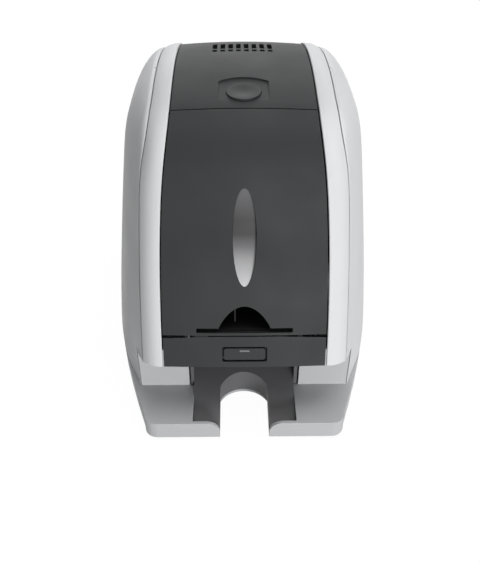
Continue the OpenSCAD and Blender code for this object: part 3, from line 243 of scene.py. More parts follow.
def sleeve(n):
    """Faces between two rings of n points: the walls and both ends."""
    k = np.arange(n)
    walls = np.stack([k, (k + 1) % n, (k + 1) % n + n, k + n], -1).tolist()
    return walls + [k[::-1].tolist(), (k + n).tolist()]


def prism(outline, low, high, s):
    """Right prism of a flat outline (x, v) between two heights over the profile at station s."""
    outline = np.asarray(outline, float)
    n = len(outline)
    rings = [np.column_stack([outline, np.full(n, h)]) for h in (low, high)]
    return stand(np.concatenate(rings), s), sleeve(n)


def block(low, high):
    """Box between two corners."""
    x, y, z = [(a, b) for a, b in zip(low, high)]
    verts = np.array([[i, j, k] for k in z for j in y for i in x], float)
    return verts, [[0, 2, 3, 1], [4, 5, 7, 6], [0, 1, 5, 4], [2, 6, 7, 3], [0, 4, 6, 2], [1, 3, 7, 5]]


def rounded_outline(w, h, r, centre=(0, 0), steps=8):
    """Rectangle w by h whose corners are arcs of radius r."""
    a = np.linspace(0, np.pi / 2, steps + 1)
    arc = np.stack([np.cos(a), np.sin(a)], -1) * r
    turned = []
    for k in range(4):
        c, s = round(math.cos(k * math.pi / 2)), round(math.sin(k * math.pi / 2))
        corner = np.array([(w / 2 - r) * (c - s), (h / 2 - r) * (c + s)])
        turned.append(arc @ np.array([[c, s], [-s, c]]) + corner)
    return np.concatenate(turned) + np.asarray(centre, float)


def circle_outline(r, steps=96):
    """Circle as a ring of points."""
    a = np.arange(steps) * 2 * np.pi / steps
    return np.stack([np.cos(a), np.sin(a)], -1) * r


def turn_outwards(verts, faces):
    """Reverses the faces of a closed mesh whose volume, summed over fans of triangles, is negative."""
    fans = np.array([(f[0], f[k], f[k + 1]) for f in faces for k in range(1, len(f) - 1)])
    a, b, c = verts[fans].transpose(1, 0, 2)
    return faces if np.einsum("ij,ij->", a, np.cross(b, c)) > 0 else [f[::-1] for f in faces]


def new_mesh(name, verts, faces):
    """Blender object of a closed mesh given in millimetres."""
    mesh = bpy.data.meshes.new(name)
    mesh.from_pydata((verts * MM).tolist(), [], turn_outwards(verts, faces))
    obj = bpy.data.objects.new(name, mesh)
    scene.collection.objects.link(obj)
    return obj


def settle(obj):
    """Applies the modifiers: the evaluated mesh takes the place of the object's own."""
    bpy.context.view_layer.update()
    made = bpy.data.meshes.new_from_object(obj.evaluated_get(bpy.context.evaluated_depsgraph_get()))
    old = obj.data
    obj.modifiers.clear()
    obj.data = made
    bpy.data.meshes.remove(old)


def carve(obj, cutters):
    """Cuts closed meshes out of a piece."""
    tools = [new_mesh(f"cutter_{k}", *cutter) for k, cutter in enumerate(cutters)]
    for tool in tools:
        cut = obj.modifiers.new("cut", "BOOLEAN")
        cut.object, cut.operation, cut.solver = tool, "DIFFERENCE", "EXACT"
    settle(obj)
    for tool in tools:
        mesh = tool.data
        bpy.data.objects.remove(tool)
        bpy.data.meshes.remove(mesh)


def finish_edges(obj, bevel):
    """Rounds the sharp edges by bevel millimetres, and shades the faces smooth between them."""
    mesh = obj.data
    mesh.polygons.foreach_set("use_smooth", np.ones(len(mesh.polygons), bool))
    mesh.set_sharp_from_angle(angle=math.radians(EDGE_ANGLE))
    if bevel:
        edge = obj.modifiers.new("edge", "BEVEL")
        edge.width, edge.segments = bevel * MM, EDGE_SEGMENTS
        edge.limit_method, edge.angle_limit = "ANGLE", math.radians(EDGE_ANGLE)
        edge.use_clamp_overlap = True
        edge.miter_outer = "MITER_ARC"
        obj.modifiers.new("shade", "WEIGHTED_NORMAL").keep_sharp = True
        settle(obj)


def body_of_node(name):
    """Name of the body that carries a CAD node."""
    return frame["nodes"][name]["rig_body"]


def place(obj, material, nodes, body=None):
    """Gives a finished piece its material and its body, and hides the CAD nodes that it stands for."""
    obj.data.materials.clear()
    obj.data.materials.append(material)
    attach(obj, body or body_of_node(nodes[0]))
    if nodes:
        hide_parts(*nodes)


def refined(name, bevel):
    """Copy of a CAD node with its loose triangles joined, its flat faces whole and its edges rounded."""
    mesh = frame["nodes"][name].data.copy()
    work = bmesh.new()
    work.from_mesh(mesh)
    bmesh.ops.remove_doubles(work, verts=work.verts, dist=JOIN_DISTANCE)
    bmesh.ops.dissolve_limit(work, angle_limit=math.radians(FLAT_ANGLE), verts=work.verts, edges=work.edges)
    work.to_mesh(mesh)
    work.free()
    obj = bpy.data.objects.new(name + "_finished", mesh)
    scene.collection.objects.link(obj)
    finish_edges(obj, bevel)
    return obj


# ---------------------------------------------------------------- materials
FINE_DETAIL, BROAD_DETAIL = 3.0, 2.0
BROAD_SCALE = 28.0
# How far the roughness swings as the broad noise goes from low to high
ROUGH_SWING = 0.05
NOISE_LOW, NOISE_HIGH = 0.3, 0.7


def linear(code):
    """sRGB hex colour to a linear RGBA tuple."""
    c = np.array([int(code[k:k + 2], 16) for k in (1, 3, 5)]) / 255
    c = np.where(c <= 0.04045, c / 12.92, ((c + 0.055) / 1.055) ** 2.4)
    return (*c.tolist(), 1.0)


def add_node(tree, kind, inputs=None, **settings):
    """Adds a node with its settings, its input values and its links."""
    made = tree.nodes.new(kind)
    for key, value in settings.items():
        setattr(made, key, value)
    for key, value in (inputs or {}).items():
        if isinstance(value, bpy.types.NodeSocket):
            tree.links.new(value, made.inputs[key])
        else:
            made.inputs[key].default_value = value
    return made


def mottled(tree, broad, colour, mottle):
    """Colour that wanders with the broad noise by its share mottle."""
    base = np.array(linear(colour))
    ends = (base * (1 - mottle), np.minimum(base * (1 + mottle), 1))
    mix = add_node(tree, "ShaderNodeMix", {"Factor": broad}, data_type="RGBA")
    for socket, end in zip((s for s in mix.inputs if s.type == "RGBA"), ends):
        socket.default_value = (*end[:3].tolist(), 1.0)
    return next(s for s in mix.outputs if s.type == "RGBA")


def faded(tree, where, fade):
    """Colour that follows the height in the piece, given as (height in metres, colour) pairs."""
    height = add_node(tree, "ShaderNodeSeparateXYZ", {0: where}).outputs["Z"]
    low, high = fade[0][0], fade[-1][0]
    share = add_node(tree, "ShaderNodeMapRange", {"Value": height, "From Min": low, "From Max": high})
    ramp = add_node(tree, "ShaderNodeValToRGB", {"Fac": share.outputs["Result"]})
    stops = ramp.color_ramp.elements
    for z, code in fade[1:-1]:
        stops.new((z - low) / (high - low)).color = linear(code)
    stops[0].color, stops[-1].color = linear(fade[0][1]), linear(fade[-1][1])
    return ramp.outputs["Color"]


def moulded(name, colour, roughness, grain, depth, mottle=0.0, stretch=(1, 1, 1), specular=0.5,
            metallic=0.0):
    """Surface with a fine grain of the given size (mm) and depth (mm), and gloss that wanders a little.
    The colour is one colour that wanders by mottle, or a fade of (height, colour) pairs."""
    material = bpy.data.materials.new(name)
    material.use_nodes = True
    tree = material.node_tree
    tree.nodes.clear()
    where = add_node(tree, "ShaderNodeTexCoord").outputs["Object"]
    where = add_node(tree, "ShaderNodeMapping", {"Vector": where, "Scale": stretch}).outputs["Vector"]
    fine = add_node(tree, "ShaderNodeTexNoise",
                    {"Vector": where, "Scale": 1 / (grain * MM), "Detail": FINE_DETAIL}).outputs["Fac"]
    broad = add_node(tree, "ShaderNodeTexNoise",
                     {"Vector": where, "Scale": BROAD_SCALE, "Detail": BROAD_DETAIL}).outputs["Fac"]
    one_colour = isinstance(colour, str)
    tint = mottled(tree, broad, colour, mottle) if one_colour else faded(tree, where, colour)
    gloss = add_node(tree, "ShaderNodeMapRange", {
        "Value": broad, "From Min": NOISE_LOW, "From Max": NOISE_HIGH,
        "To Min": roughness - ROUGH_SWING, "To Max": roughness + ROUGH_SWING})
    bump = add_node(tree, "ShaderNodeBump", {"Height": fine, "Distance": depth * MM, "Strength": 1.0})
    surface = add_node(tree, "ShaderNodeBsdfPrincipled", {
        "Base Color": tint, "Roughness": gloss.outputs["Result"], "Normal": bump.outputs["Normal"],
        "Specular IOR Level": specular, "Metallic": metallic})
    add_node(tree, "ShaderNodeOutputMaterial", {"Surface": surface.outputs["BSDF"]})
    return material


# Painted ABS: satin silver paint with a very fine fleck and soft highlights
SILVER = moulded("satin_silver_paint", "#d8d9db", 0.42, grain=0.35, depth=0.004, mottle=0.012, specular=0.1)
# Moulded ABS of the base: an even grey without paint, a little duller than the silver
CASE = moulded("case_grey_abs", "#bcbdbf", 0.5, grain=0.45, depth=0.012, mottle=0.015, specular=0.3)
# Charcoal ABS with a fine matt finish that brightens at a low angle
DARK = moulded("charcoal_abs", "#2b2c2d", 0.62, grain=0.4, depth=0.006, mottle=0.03, specular=0.25)
# The same ABS of the strip and its button, a touch lighter
DARK_STRIP = moulded("charcoal_abs_strip", "#2c2d2e", 0.62, grain=0.4, depth=0.008, mottle=0.03,
                     specular=0.25)
# Lacquered inlay with a painted reflection and painted shade as a fade up its height: pale grey at its foot,
# charcoal above the middle, mid grey at the top
LENS_PAINTED_REFLECTION = ((0.1026, "#c6c6c8"), (0.1172, "#989899"), (0.1240, "#68686a"), (0.1310, "#373738"),
             (0.1390, "#313132"), (0.1574, "#666668"))
LENS = moulded("lacquered_inlay_painted_reflection", LENS_PAINTED_REFLECTION, 0.38, grain=1.2, depth=0.003, specular=0.2)
# Grained ABS of the tray liner and the card hopper: a dull mid grey
LINER = moulded("grained_grey_abs", "#58585a", 0.55, grain=0.7, depth=0.03, mottle=0.04)
# Black ABS of the guides, frames and fan: flat, with hardly any gloss
BLACK = moulded("black_abs", "#222222", 0.6, grain=0.5, depth=0.02, mottle=0.05, specular=0.25)
# Moulded black rubber of the feet, belts and platen: no shine, slightly dusty
RUBBER = moulded("black_rubber", "#202020", 0.8, grain=0.6, depth=0.03, mottle=0.08)
# Bright zinc on pressed sheet steel: a clouded metal with soft reflections
STEEL = moulded("zinc_plated_steel", "#a9abad", 0.38, grain=2.5, depth=0.004, mottle=0.06, metallic=1.0)
# Ground steel of shafts and posts: a clean metal with fine streaks along X
SHAFT = moulded("ground_steel", "#c6c7c9", 0.24, grain=0.5, depth=0.004, mottle=0.03,
                stretch=(0.05, 1, 1), metallic=1.0)
# Blackened steel of the hinge pins: near black, with a thin sheen
BLACKENED = moulded("blackened_steel", "#1d1d1f", 0.5, grain=0.5, depth=0.004, mottle=0.05)
# Natural acetal of gears and bushes: warm white, faintly waxy
ACETAL = moulded("natural_acetal", "#ded8c6", 0.42, grain=0.8, depth=0.008, mottle=0.02)
# Ground feed rubber of the driven rollers: dull red-brown
FEED_RUBBER = moulded("red_brown_roller_rubber", "#6e342c", 0.75, grain=0.5, depth=0.03, mottle=0.08)
# Tacky rubber of the cleaning roller: amber, smooth and glossy
CLEAN_RUBBER = moulded("amber_tacky_rubber", "#c98b37", 0.3, grain=1.5, depth=0.01, mottle=0.05)
# Extruded aluminium of the print head: silver, drawn out along its length
ALUMINIUM = moulded("extruded_aluminium", "#c5c8cb", 0.33, grain=0.4, depth=0.006, mottle=0.03,
                    stretch=(0.04, 1, 1), metallic=1.0)
# Black lacquer on the motor cans: dark and half glossy
MOTOR = moulded("black_lacquered_steel", "#26272a", 0.35, grain=0.6, depth=0.006, mottle=0.05)
# Turned brass of the pinions: yellow and bright
BRASS = moulded("turned_brass", "#c9a552", 0.28, grain=0.4, depth=0.004, mottle=0.04, metallic=1.0)
# Polystyrene of the ribbon cassette: an even blue with a soft gloss
CASSETTE = moulded("blue_polystyrene", "#3e6f9f", 0.35, grain=0.8, depth=0.01, mottle=0.03)
# Dye film of the ribbon: almost black, very glossy and slightly rippled
RIBBON = moulded("dye_film", "#1c1a2c", 0.14, grain=6.0, depth=0.02, mottle=0.1)
# Green solder mask over copper: glossy, with the tracks showing as a mottle
BOARD = moulded("solder_masked_board", "#1f5c38", 0.35, grain=1.6, depth=0.02, mottle=0.18)
# Polished acrylic of the light bar: unlit grey with a clean shine
LIGHT_PIPE = moulded("clear_acrylic_light_pipe", "#6c6d6f", 0.18, grain=0.8, depth=0.004, mottle=0.02)

# ---------------------------------------------------------------- dark covers
COVER_COLS = 72
FRONT_ROWS, TOP_ROWS, STRIP_ROWS, REAR_ROWS = 150, 120, 24, 90
# Rounding of the covers' edges
COVER_EDGE, TOP_EDGE = 0.45, 0.4
# Reach of the long and the short cutters over and under the skin
CUT, SHORT_CUT = 20, 10


def dark_grid(s0, s1, rows, depth=0.0):
    """Skin of the dark covers: x runs evenly over the half width, and the crown drops with its square."""
    s = np.linspace(s0, s1, rows + 1)[:, None]
    t = np.linspace(-1, 1, COVER_COLS + 1)[None, :]
    yz = profile(s + 0 * t, CROWN * t * t + depth)
    x = t * (dark_half(s) - GAP / 2)
    return np.concatenate([x[..., None], yz], -1)


def dark_skin(s0, s1, rows):
    """Shell of the dark covers between two stations, WALL thick."""
    return solid_between(dark_grid(s0, s1, rows), dark_grid(s0, s1, rows, WALL))


SLOT_W, SLOT_H, SLOT_R = 57.0, 3.0, 0.8
ARCH_W, ARCH_H, ARCH_POWER = 15.3, 14.0, 1.14
# The arch reaches this far into the slot, so that no web is left between them
ARCH_SINK = 0.01
LENS_L, LENS_W = 57.6, 13.6
LENS_U = HINGE_U + 29.2 + LENS_L / 2
S_SLOT = (HINGE_U + 1.6) / FACE_LEN
S_LENS = LENS_U / FACE_LEN
S_HINGE = HINGE_U / FACE_LEN
# Depth of the hinge axis, the pockets for its knuckles and the groove along the strip
HINGE_OFF = 3.6
KNUCKLE_X, KNUCKLE_HALF, KNUCKLE_R = 39.6, 4.5, 2.2
GROOVE_HALF, GROOVE_R = 100, 4.05


def lens_outline(steps=120):
    """Ring of points round the lens: an ellipse of its length and width."""
    return circle_outline(1.0, steps) * [LENS_W / 2, LENS_L / 2]


def arch_outline(steps=48):
    """Bell-shaped thumb arch: its half width falls as the root of one less a power of the height."""
    u = np.linspace(1, -1, steps)
    h = 1 - u * u
    x = ARCH_W * np.sign(u) * np.sqrt(1 - h ** ARCH_POWER)
    top = np.stack([x, ARCH_H * h + SLOT_H / 2 - ARCH_SINK], -1)
    return np.concatenate([top, [[-ARCH_W, 0.0], [ARCH_W, 0.0]]])


def hinge_rod(radius, x0, x1):
    """Round rod on the front cover's hinge axis from x0 to x1: a circle carried along x."""
    circle = circle_outline(radius)
    n = len(circle)
    ends = [np.column_stack([np.full(n, x), circle]) for x in (x0, x1)]
    return stand(np.concatenate(ends), S_HINGE, HINGE_OFF), sleeve(n)


front_cover = new_mesh("front_cover_shell", *dark_skin(S_GAP, S_FRONT_END, FRONT_ROWS))
knuckle_pockets = [hinge_rod(KNUCKLE_R, side * KNUCKLE_X - KNUCKLE_HALF, side * KNUCKLE_X + KNUCKLE_HALF)
                   for side in (-1, 1)]
carve(front_cover, [prism(rounded_outline(SLOT_W, SLOT_H, SLOT_R), -CUT, CUT, S_SLOT),
                    prism(arch_outline(), -CUT, CUT, S_SLOT),
                    prism(lens_outline(), -CUT, CUT, S_LENS)] + knuckle_pockets)
finish_edges(front_cover, COVER_EDGE)
place(front_cover, DARK, ["front_cover"])

# Depth of the scoop, how far it lies under the skin at its ends, the height of its foot, its play, and the
# share of its width that is left at its two points
LENS_DEPTH, LENS_SINK, LENS_FOOT, LENS_PLAY, LENS_POINT = 2.4, 0.25, -4.2, 0.15, 0.003


def lens_scoop(rows=97, cols=17):
    """Inlay curved only along its length: the depth falls with the square of the way from its middle."""
    a = np.linspace(-np.pi / 2, np.pi / 2, rows)[:, None]
    t = np.linspace(-1, 1, cols)[None, :]
    v = (LENS_L / 2 - LENS_PLAY) * np.sin(a)
    x = t * (LENS_W / 2 - LENS_PLAY) * np.clip(np.cos(a), LENS_POINT, None)
    w = -LENS_DEPTH * (1 - (v / (LENS_L / 2)) ** 2) - LENS_SINK + 0 * t
    top = stand(np.stack([x, v + 0 * t, w], -1), S_LENS)
    low = stand(np.stack([x, v + 0 * t, np.full_like(w, LENS_FOOT)], -1), S_LENS)
    return solid_between(top, low)


lens = new_mesh("lens_inlay_scoop", *lens_scoop())
finish_edges(lens, 0)
place(lens, LENS, ["lens_inlay"])

# ---------------------------------------------------------------- top cover and its button
S_DISH = 2.087
# Half width of the dish, the radius of its far rim, its depth, its slope and how far it reaches near and up
DISH_HALF, DISH_ARC_R, DISH_DEEP, DISH_FALL, DISH_NEAR, DISH_HIGH = 14.2, 26.0, 1.5, 0.051, 18, 6
# Radius of the cap, the gap round it, the height of its foot and how far it reaches into the stem
CAP_R, CAP_GAP, CAP_LOW, CAP_OVERLAP = 9.7, 0.25, -3.2, 0.1
# Height of the cap over the skin at its middle, its slope, and the depth and radius of its finger dent
CAP_HEIGHT, CAP_SLOPE, DENT_DEPTH, DENT_R = 0.02, 0.116, 0.7, 8.2
# Each row of vents: the station of its near end, and its length
VENTS = ((2.577, 4.5), (2.642, 15.5))
VENT_W, VENT_R, VENT_PITCH, VENT_N = 3.0, 0.6, 4.9, 8


def vent_cutters():
    """Rows of cooling slots, VENT_N across."""
    cutters = []
    for station, length in VENTS:
        for k in range(VENT_N):
            centre = ((k - (VENT_N - 1) / 2) * VENT_PITCH, length / 2)
            outline = rounded_outline(VENT_W, length, VENT_R, centre, 4)
            cutters.append(prism(outline, -SHORT_CUT, SHORT_CUT, station))
    return cutters


def dish_cutter(cols=49, rows=33):
    """Dish with a round far rim and straight sides. Its flat floor comes up to the skin at the near end."""
    x = np.linspace(-DISH_HALF, DISH_HALF, cols)[:, None]
    far = DISH_HALF - DISH_ARC_R + np.sqrt(DISH_ARC_R ** 2 - x ** 2)
    v = -DISH_NEAR + (far + DISH_NEAR) * np.linspace(0, 1, rows)[None, :]
    flat = np.stack([x + 0 * v, v, DISH_FALL * (DISH_HALF - v) - DISH_DEEP], -1)
    high = flat.copy()
    high[..., 2] = DISH_HIGH
    return solid_between(stand(high, S_DISH), stand(flat, S_DISH))


def button_cap(points=57):
    """Round cap, a square grid pressed into a disc. It slopes down to its far edge, with a shallow finger
    dent that fades with the square of one less the squared way out."""
    even = np.linspace(-1, 1, points)
    a, b = np.meshgrid(even, even, indexing="ij")
    x, v = CAP_R * a * np.sqrt(1 - b * b / 2), CAP_R * b * np.sqrt(1 - a * a / 2)
    dent = DENT_DEPTH * np.clip(1 - (x ** 2 + v ** 2) / DENT_R ** 2, 0, None) ** 2
    top = np.stack([x, v, CAP_HEIGHT - CAP_SLOPE * v - dent], -1)
    low = np.stack([x, v, np.full_like(x, CAP_LOW - CAP_OVERLAP)], -1)
    return solid_between(stand(top, S_DISH), stand(low, S_DISH))


top_cover = new_mesh("top_cover_shell", *dark_skin(S_TOP_START, S_END, TOP_ROWS))
button_hole = prism(circle_outline(CAP_R + CAP_GAP), -CUT, SHORT_CUT, S_DISH)
carve(top_cover, [dish_cutter(), button_hole] + vent_cutters())
finish_edges(top_cover, TOP_EDGE)
place(top_cover, DARK, ["top_cover"])

cap = new_mesh("open_button_cap", *button_cap())
finish_edges(cap, COVER_EDGE)
place(cap, DARK, ["open_button"])

# ---------------------------------------------------------------- strip and rear cover
KEY_W, KEY_H, KEY_GAP, KEY_R = 24.7, 7.6, 1.1, 1.2
S_KEY = 8.5 / FACE_LEN

fascia = new_mesh("fascia_shell", *dark_skin(0, S_FASCIA, STRIP_ROWS))
key_hole = rounded_outline(KEY_W + 2 * KEY_GAP, KEY_H + 2 * KEY_GAP, KEY_R)
carve(fascia, [prism(key_hole, -CUT, CUT, S_KEY), hinge_rod(GROOVE_R, -GROOVE_HALF, GROOVE_HALF)])
finish_edges(fascia, COVER_EDGE)
place(fascia, DARK_STRIP, ["fascia"])

# Opening for the card hopper, and (x, z, width, height) of the sockets and the switch
HOPPER_WINDOW = ((-35, 0, 36), (35, 200, 122))
SOCKETS = ((-27, 30, 12.4, 11.2), (-8, 30, 16, 13.4), (10, 30, 9.4, 11.4), (27, 30, 13, 19))
SOCKET_PLAY = 0.3
SOCKET_Y = (40, 100)


def socket_cutter(x, z, w, h):
    """Box round a socket, with play on all sides."""
    half_w, half_h = w / 2, h / 2
    return block((x - half_w - SOCKET_PLAY, SOCKET_Y[0], z - half_h - SOCKET_PLAY),
                 (x + half_w + SOCKET_PLAY, SOCKET_Y[1], z + half_h + SOCKET_PLAY))


rear_cover = new_mesh("rear_cover_shell", *dark_skin(S_REAR_START, S_TAIL, REAR_ROWS))
carve(rear_cover, [block(*HOPPER_WINDOW)] + [socket_cutter(*socket) for socket in SOCKETS])
finish_edges(rear_cover, COVER_EDGE)
place(rear_cover, DARK, ["rear_cover"])

# ---------------------------------------------------------------- silver trims and side covers
# How far the trims stand over the dark covers, and the station from which their outer edge no longer does
RAISED, S_RAISED = 0.9, 1.4
TRIM_ROWS, TRIM_COLS, TRIM_FALL, TRIM_EDGE = 420, 22, 2.4, 0.5
# Section of the lip: x out from the joint with the top cover, and depth below the profile
LIP_OUT, LIP_DROP = np.array([-1.2, 0.5, 0.9, 2.2]), np.array([4.15, 4.15, 3.1, 3.1])
LIP_THICK, LIP_ROWS = 0.6, 90
LIP_START, LIP_END = S_SEAM + 0.012, S_END - 0.02


def trim_grid(depth, side):
    """Trim from the dark covers out to the crease, falling with a power of the way across."""
    s = np.linspace(0, S_TAIL, TRIM_ROWS + 1)[:, None]
    t = np.linspace(0, 1, TRIM_COLS + 1)[None, :]
    w0, w1 = dark_half(s) + GAP / 2, trim_half(s)
    low = CROWN - RAISED
    high = trim_drop(s) - RAISED * smooth(S_RAISED - s)
    yz = profile(s + 0 * t, low + (high - low) * t ** TRIM_FALL + depth)
    return np.concatenate([(side * (w0 + (w1 - w0) * t))[..., None], yz], -1)


def lip_grid(depth, side):
    """Lip under the joint of a trim and the top cover: its stepped section carried along the profile."""
    s = np.linspace(LIP_START, LIP_END, LIP_ROWS + 1)[:, None]
    yz = profile(s + 0 * LIP_OUT, LIP_DROP + depth + 0 * s)
    return np.concatenate([(side * (dark_half(s) + LIP_OUT))[..., None], yz], -1)


for side, label in ((-1, "left"), (1, "right")):
    trim = new_mesh(f"{label}_trim_band", *solid_between(trim_grid(0, side), trim_grid(WALL, side)))
    finish_edges(trim, TRIM_EDGE)
    place(trim, SILVER, [f"{label}_trim"])
    # The lip closes the joint with the top cover against light
    lip = new_mesh(f"{label}_trim_lip", *solid_between(lip_grid(0, side), lip_grid(LIP_THICK, side)))
    finish_edges(lip, 0)
    place(lip, DARK, [], body_of_node("top_cover"))

# Width of the rounded ramp that swells a side cover out of its edges, and the two powers of its curve
ROLL, ROLL_POWER, ROLL_ROOT = 38.0, 2.4, 0.6
# The body narrows ahead of TAPER_Y, behind REAR_TAPER_Y and above HIGH_TAPER_Z
TAPER_Y, FRONT_POWER = -68.0, 1.35
REAR_TAPER_Y, REAR_TAPER_LEN, REAR_NARROW = 5, 90, 15
HIGH_TAPER_Z, HIGH_TAPER_LEN, HIGH_NARROW, HIGH_POWER = 10, 130, 15, 1.2
# The side covers' front edge runs up the return behind the tray through the heights LOW_Z, then along the
# trim to the tip, where its rows spread by a power of their number
RETURN_Y, RETURN_W = FRONT_Y + 33, 67.7
STEP_Z = FACE_Z - 2.6
LOW_Z = np.array([LIP_Z + 0.4, 22, 30, 38, 46, STEP_Z - 3])
SIDE_ROWS, SIDE_COLS, ROW_POWER = 26, 88, 1.1
# Station of a side cover's tip, and how far short of it both edges end
S_TIP, TIP_GAP = 2.4, 0.005
# Play between a side cover and the trim, and depth below the profile where the side cover starts to swell
TRIM_PLAY, TRIM_UNDER = 0.3, 3
# The inner skin sinks below the outer one above INNER_Z, over a height of INNER_LEN. At its ends it lies in
# by the wall, or by INNER_SHARE of a short row
INNER_Z, INNER_LEN, INNER_SHARE = 60, 120, 0.35


def side_limit(y, z):
    """Widest half width of the body, less towards the tray, the back and the top."""
    front = np.clip((TAPER_Y - y) / (TAPER_Y - FRONT_Y), 0, None)
    rear = np.clip((y - REAR_TAPER_Y) / REAR_TAPER_LEN, 0, None)
    high = np.clip((z - HIGH_TAPER_Z) / HIGH_TAPER_LEN, 0, None)
    narrow = (BODY_W - TRAY_W) * front ** FRONT_POWER
    return BODY_W - narrow - REAR_NARROW * rear ** 2 - HIGH_NARROW * high ** HIGH_POWER


def arc_z(y, centre, radius):
    """Height of an arc of the profile over a place."""
    return centre[1] + np.sqrt(np.clip(radius ** 2 - (y - centre[0]) ** 2, 0, None))


def profile_z(y):
    """Height of the side profile over a place."""
    face = P_FACE[1] + (y - P_FACE[0]) / math.tan(math.radians(LEAN))
    nose, top = arc_z(y, C_NOSE, NOSE_R), arc_z(y, C_TOP, TOP_R)
    rear = arc_z(np.minimum(y, C_REAR[0] + REAR_R), C_REAR, REAR_R)
    return np.select([y < P_NOSE[0], y < P_TOP[0], y < P_REAR[0]], [face, nose, top], rear)


def crease(s):
    """Edge of a side cover along the crease at stations s."""
    return np.concatenate([(trim_half(s) + TRIM_PLAY)[..., None], profile(s, trim_drop(s))], -1)


def front_rim(i):
    """Front edge of a side cover in row i: up behind the tray, then along the trim."""
    n = len(LOW_Z)
    low = np.stack([np.full_like(i, RETURN_W), np.full_like(i, RETURN_Y),
                    np.interp(i, np.arange(n), LOW_Z)], -1)
    high = crease((S_TIP - TIP_GAP) * np.clip((i - n) / (SIDE_ROWS - n), 0, None) ** ROW_POWER)
    first = high[np.argmax(i >= n)][None, :]
    mix = np.clip(i - (n - 1), 0, 1)[..., None]
    return np.where((i < n)[..., None], low * (1 - mix) + first * mix, high)


def rear_rim(i, z):
    """Rear edge of a side cover, up the back and then over the roll. The rows i start at the heights z."""
    z4 = profile(4.0, trim_drop(4.0))[1]
    i4 = np.interp(z4, z, i)
    up = 4 + (z4 - z) / (z4 - BASE_Z)
    over = 4 - (4 - TIP_GAP - S_TIP) * (i - i4) / (SIDE_ROWS - i4)
    return crease(np.where(z < z4, up, over))


def side_grid(depth, side, rows):
    """Side cover: straight rows between its front and rear edges, swollen out by a rounded ramp of the
    distance to the nearest edge. The distances are joined as the cube root of their summed inverse cubes."""
    a = front_rim(rows)
    b = rear_rim(rows, a[:, 2])
    t = (1 - np.cos(np.linspace(0, np.pi, SIDE_COLS + 1)))[None, :] / 2
    q = a[:, None, :] + (b - a)[:, None, :] * t[..., None]
    run = (b[:, 1] - a[:, 1])[:, None]
    under = profile_z(q[..., 1]) - TRIM_UNDER - q[..., 2]
    near = [np.clip(d, 0.01, None) for d in (t * run, (1 - t) * run, under)]
    d = sum(n ** -3.0 for n in near) ** (-1 / 3)
    swell = (1 - (1 - np.clip(d / ROLL, 0, 1)) ** ROLL_POWER) ** ROLL_ROOT
    x = q[..., 0] + np.clip(side_limit(q[..., 1], q[..., 2]) - q[..., 0], 0, None) * swell
    if depth:
        x = np.maximum(x - depth, q[..., 0])
    y = q[..., 1] + np.minimum(depth, INNER_SHARE * run) * (1 - 2 * t)
    z = q[..., 2] - depth * smooth((q[..., 2] - INNER_Z) / INNER_LEN)
    return np.stack([side * x, y, z], -1)


# Rows up the return behind the tray, across to the trim and along it
side_rows = np.unique(np.concatenate([np.linspace(0, 5, 21), np.linspace(5, 6, 6),
                                      np.linspace(6, SIDE_ROWS, 111)]))
for side, label in ((-1, "left"), (1, "right")):
    skins = [side_grid(depth, side, side_rows) for depth in (0, WALL)]
    cover = new_mesh(f"{label}_side_shell", *solid_between(*skins))
    finish_edges(cover, 0)
    place(cover, SILVER, [f"{label}_side_cover"])

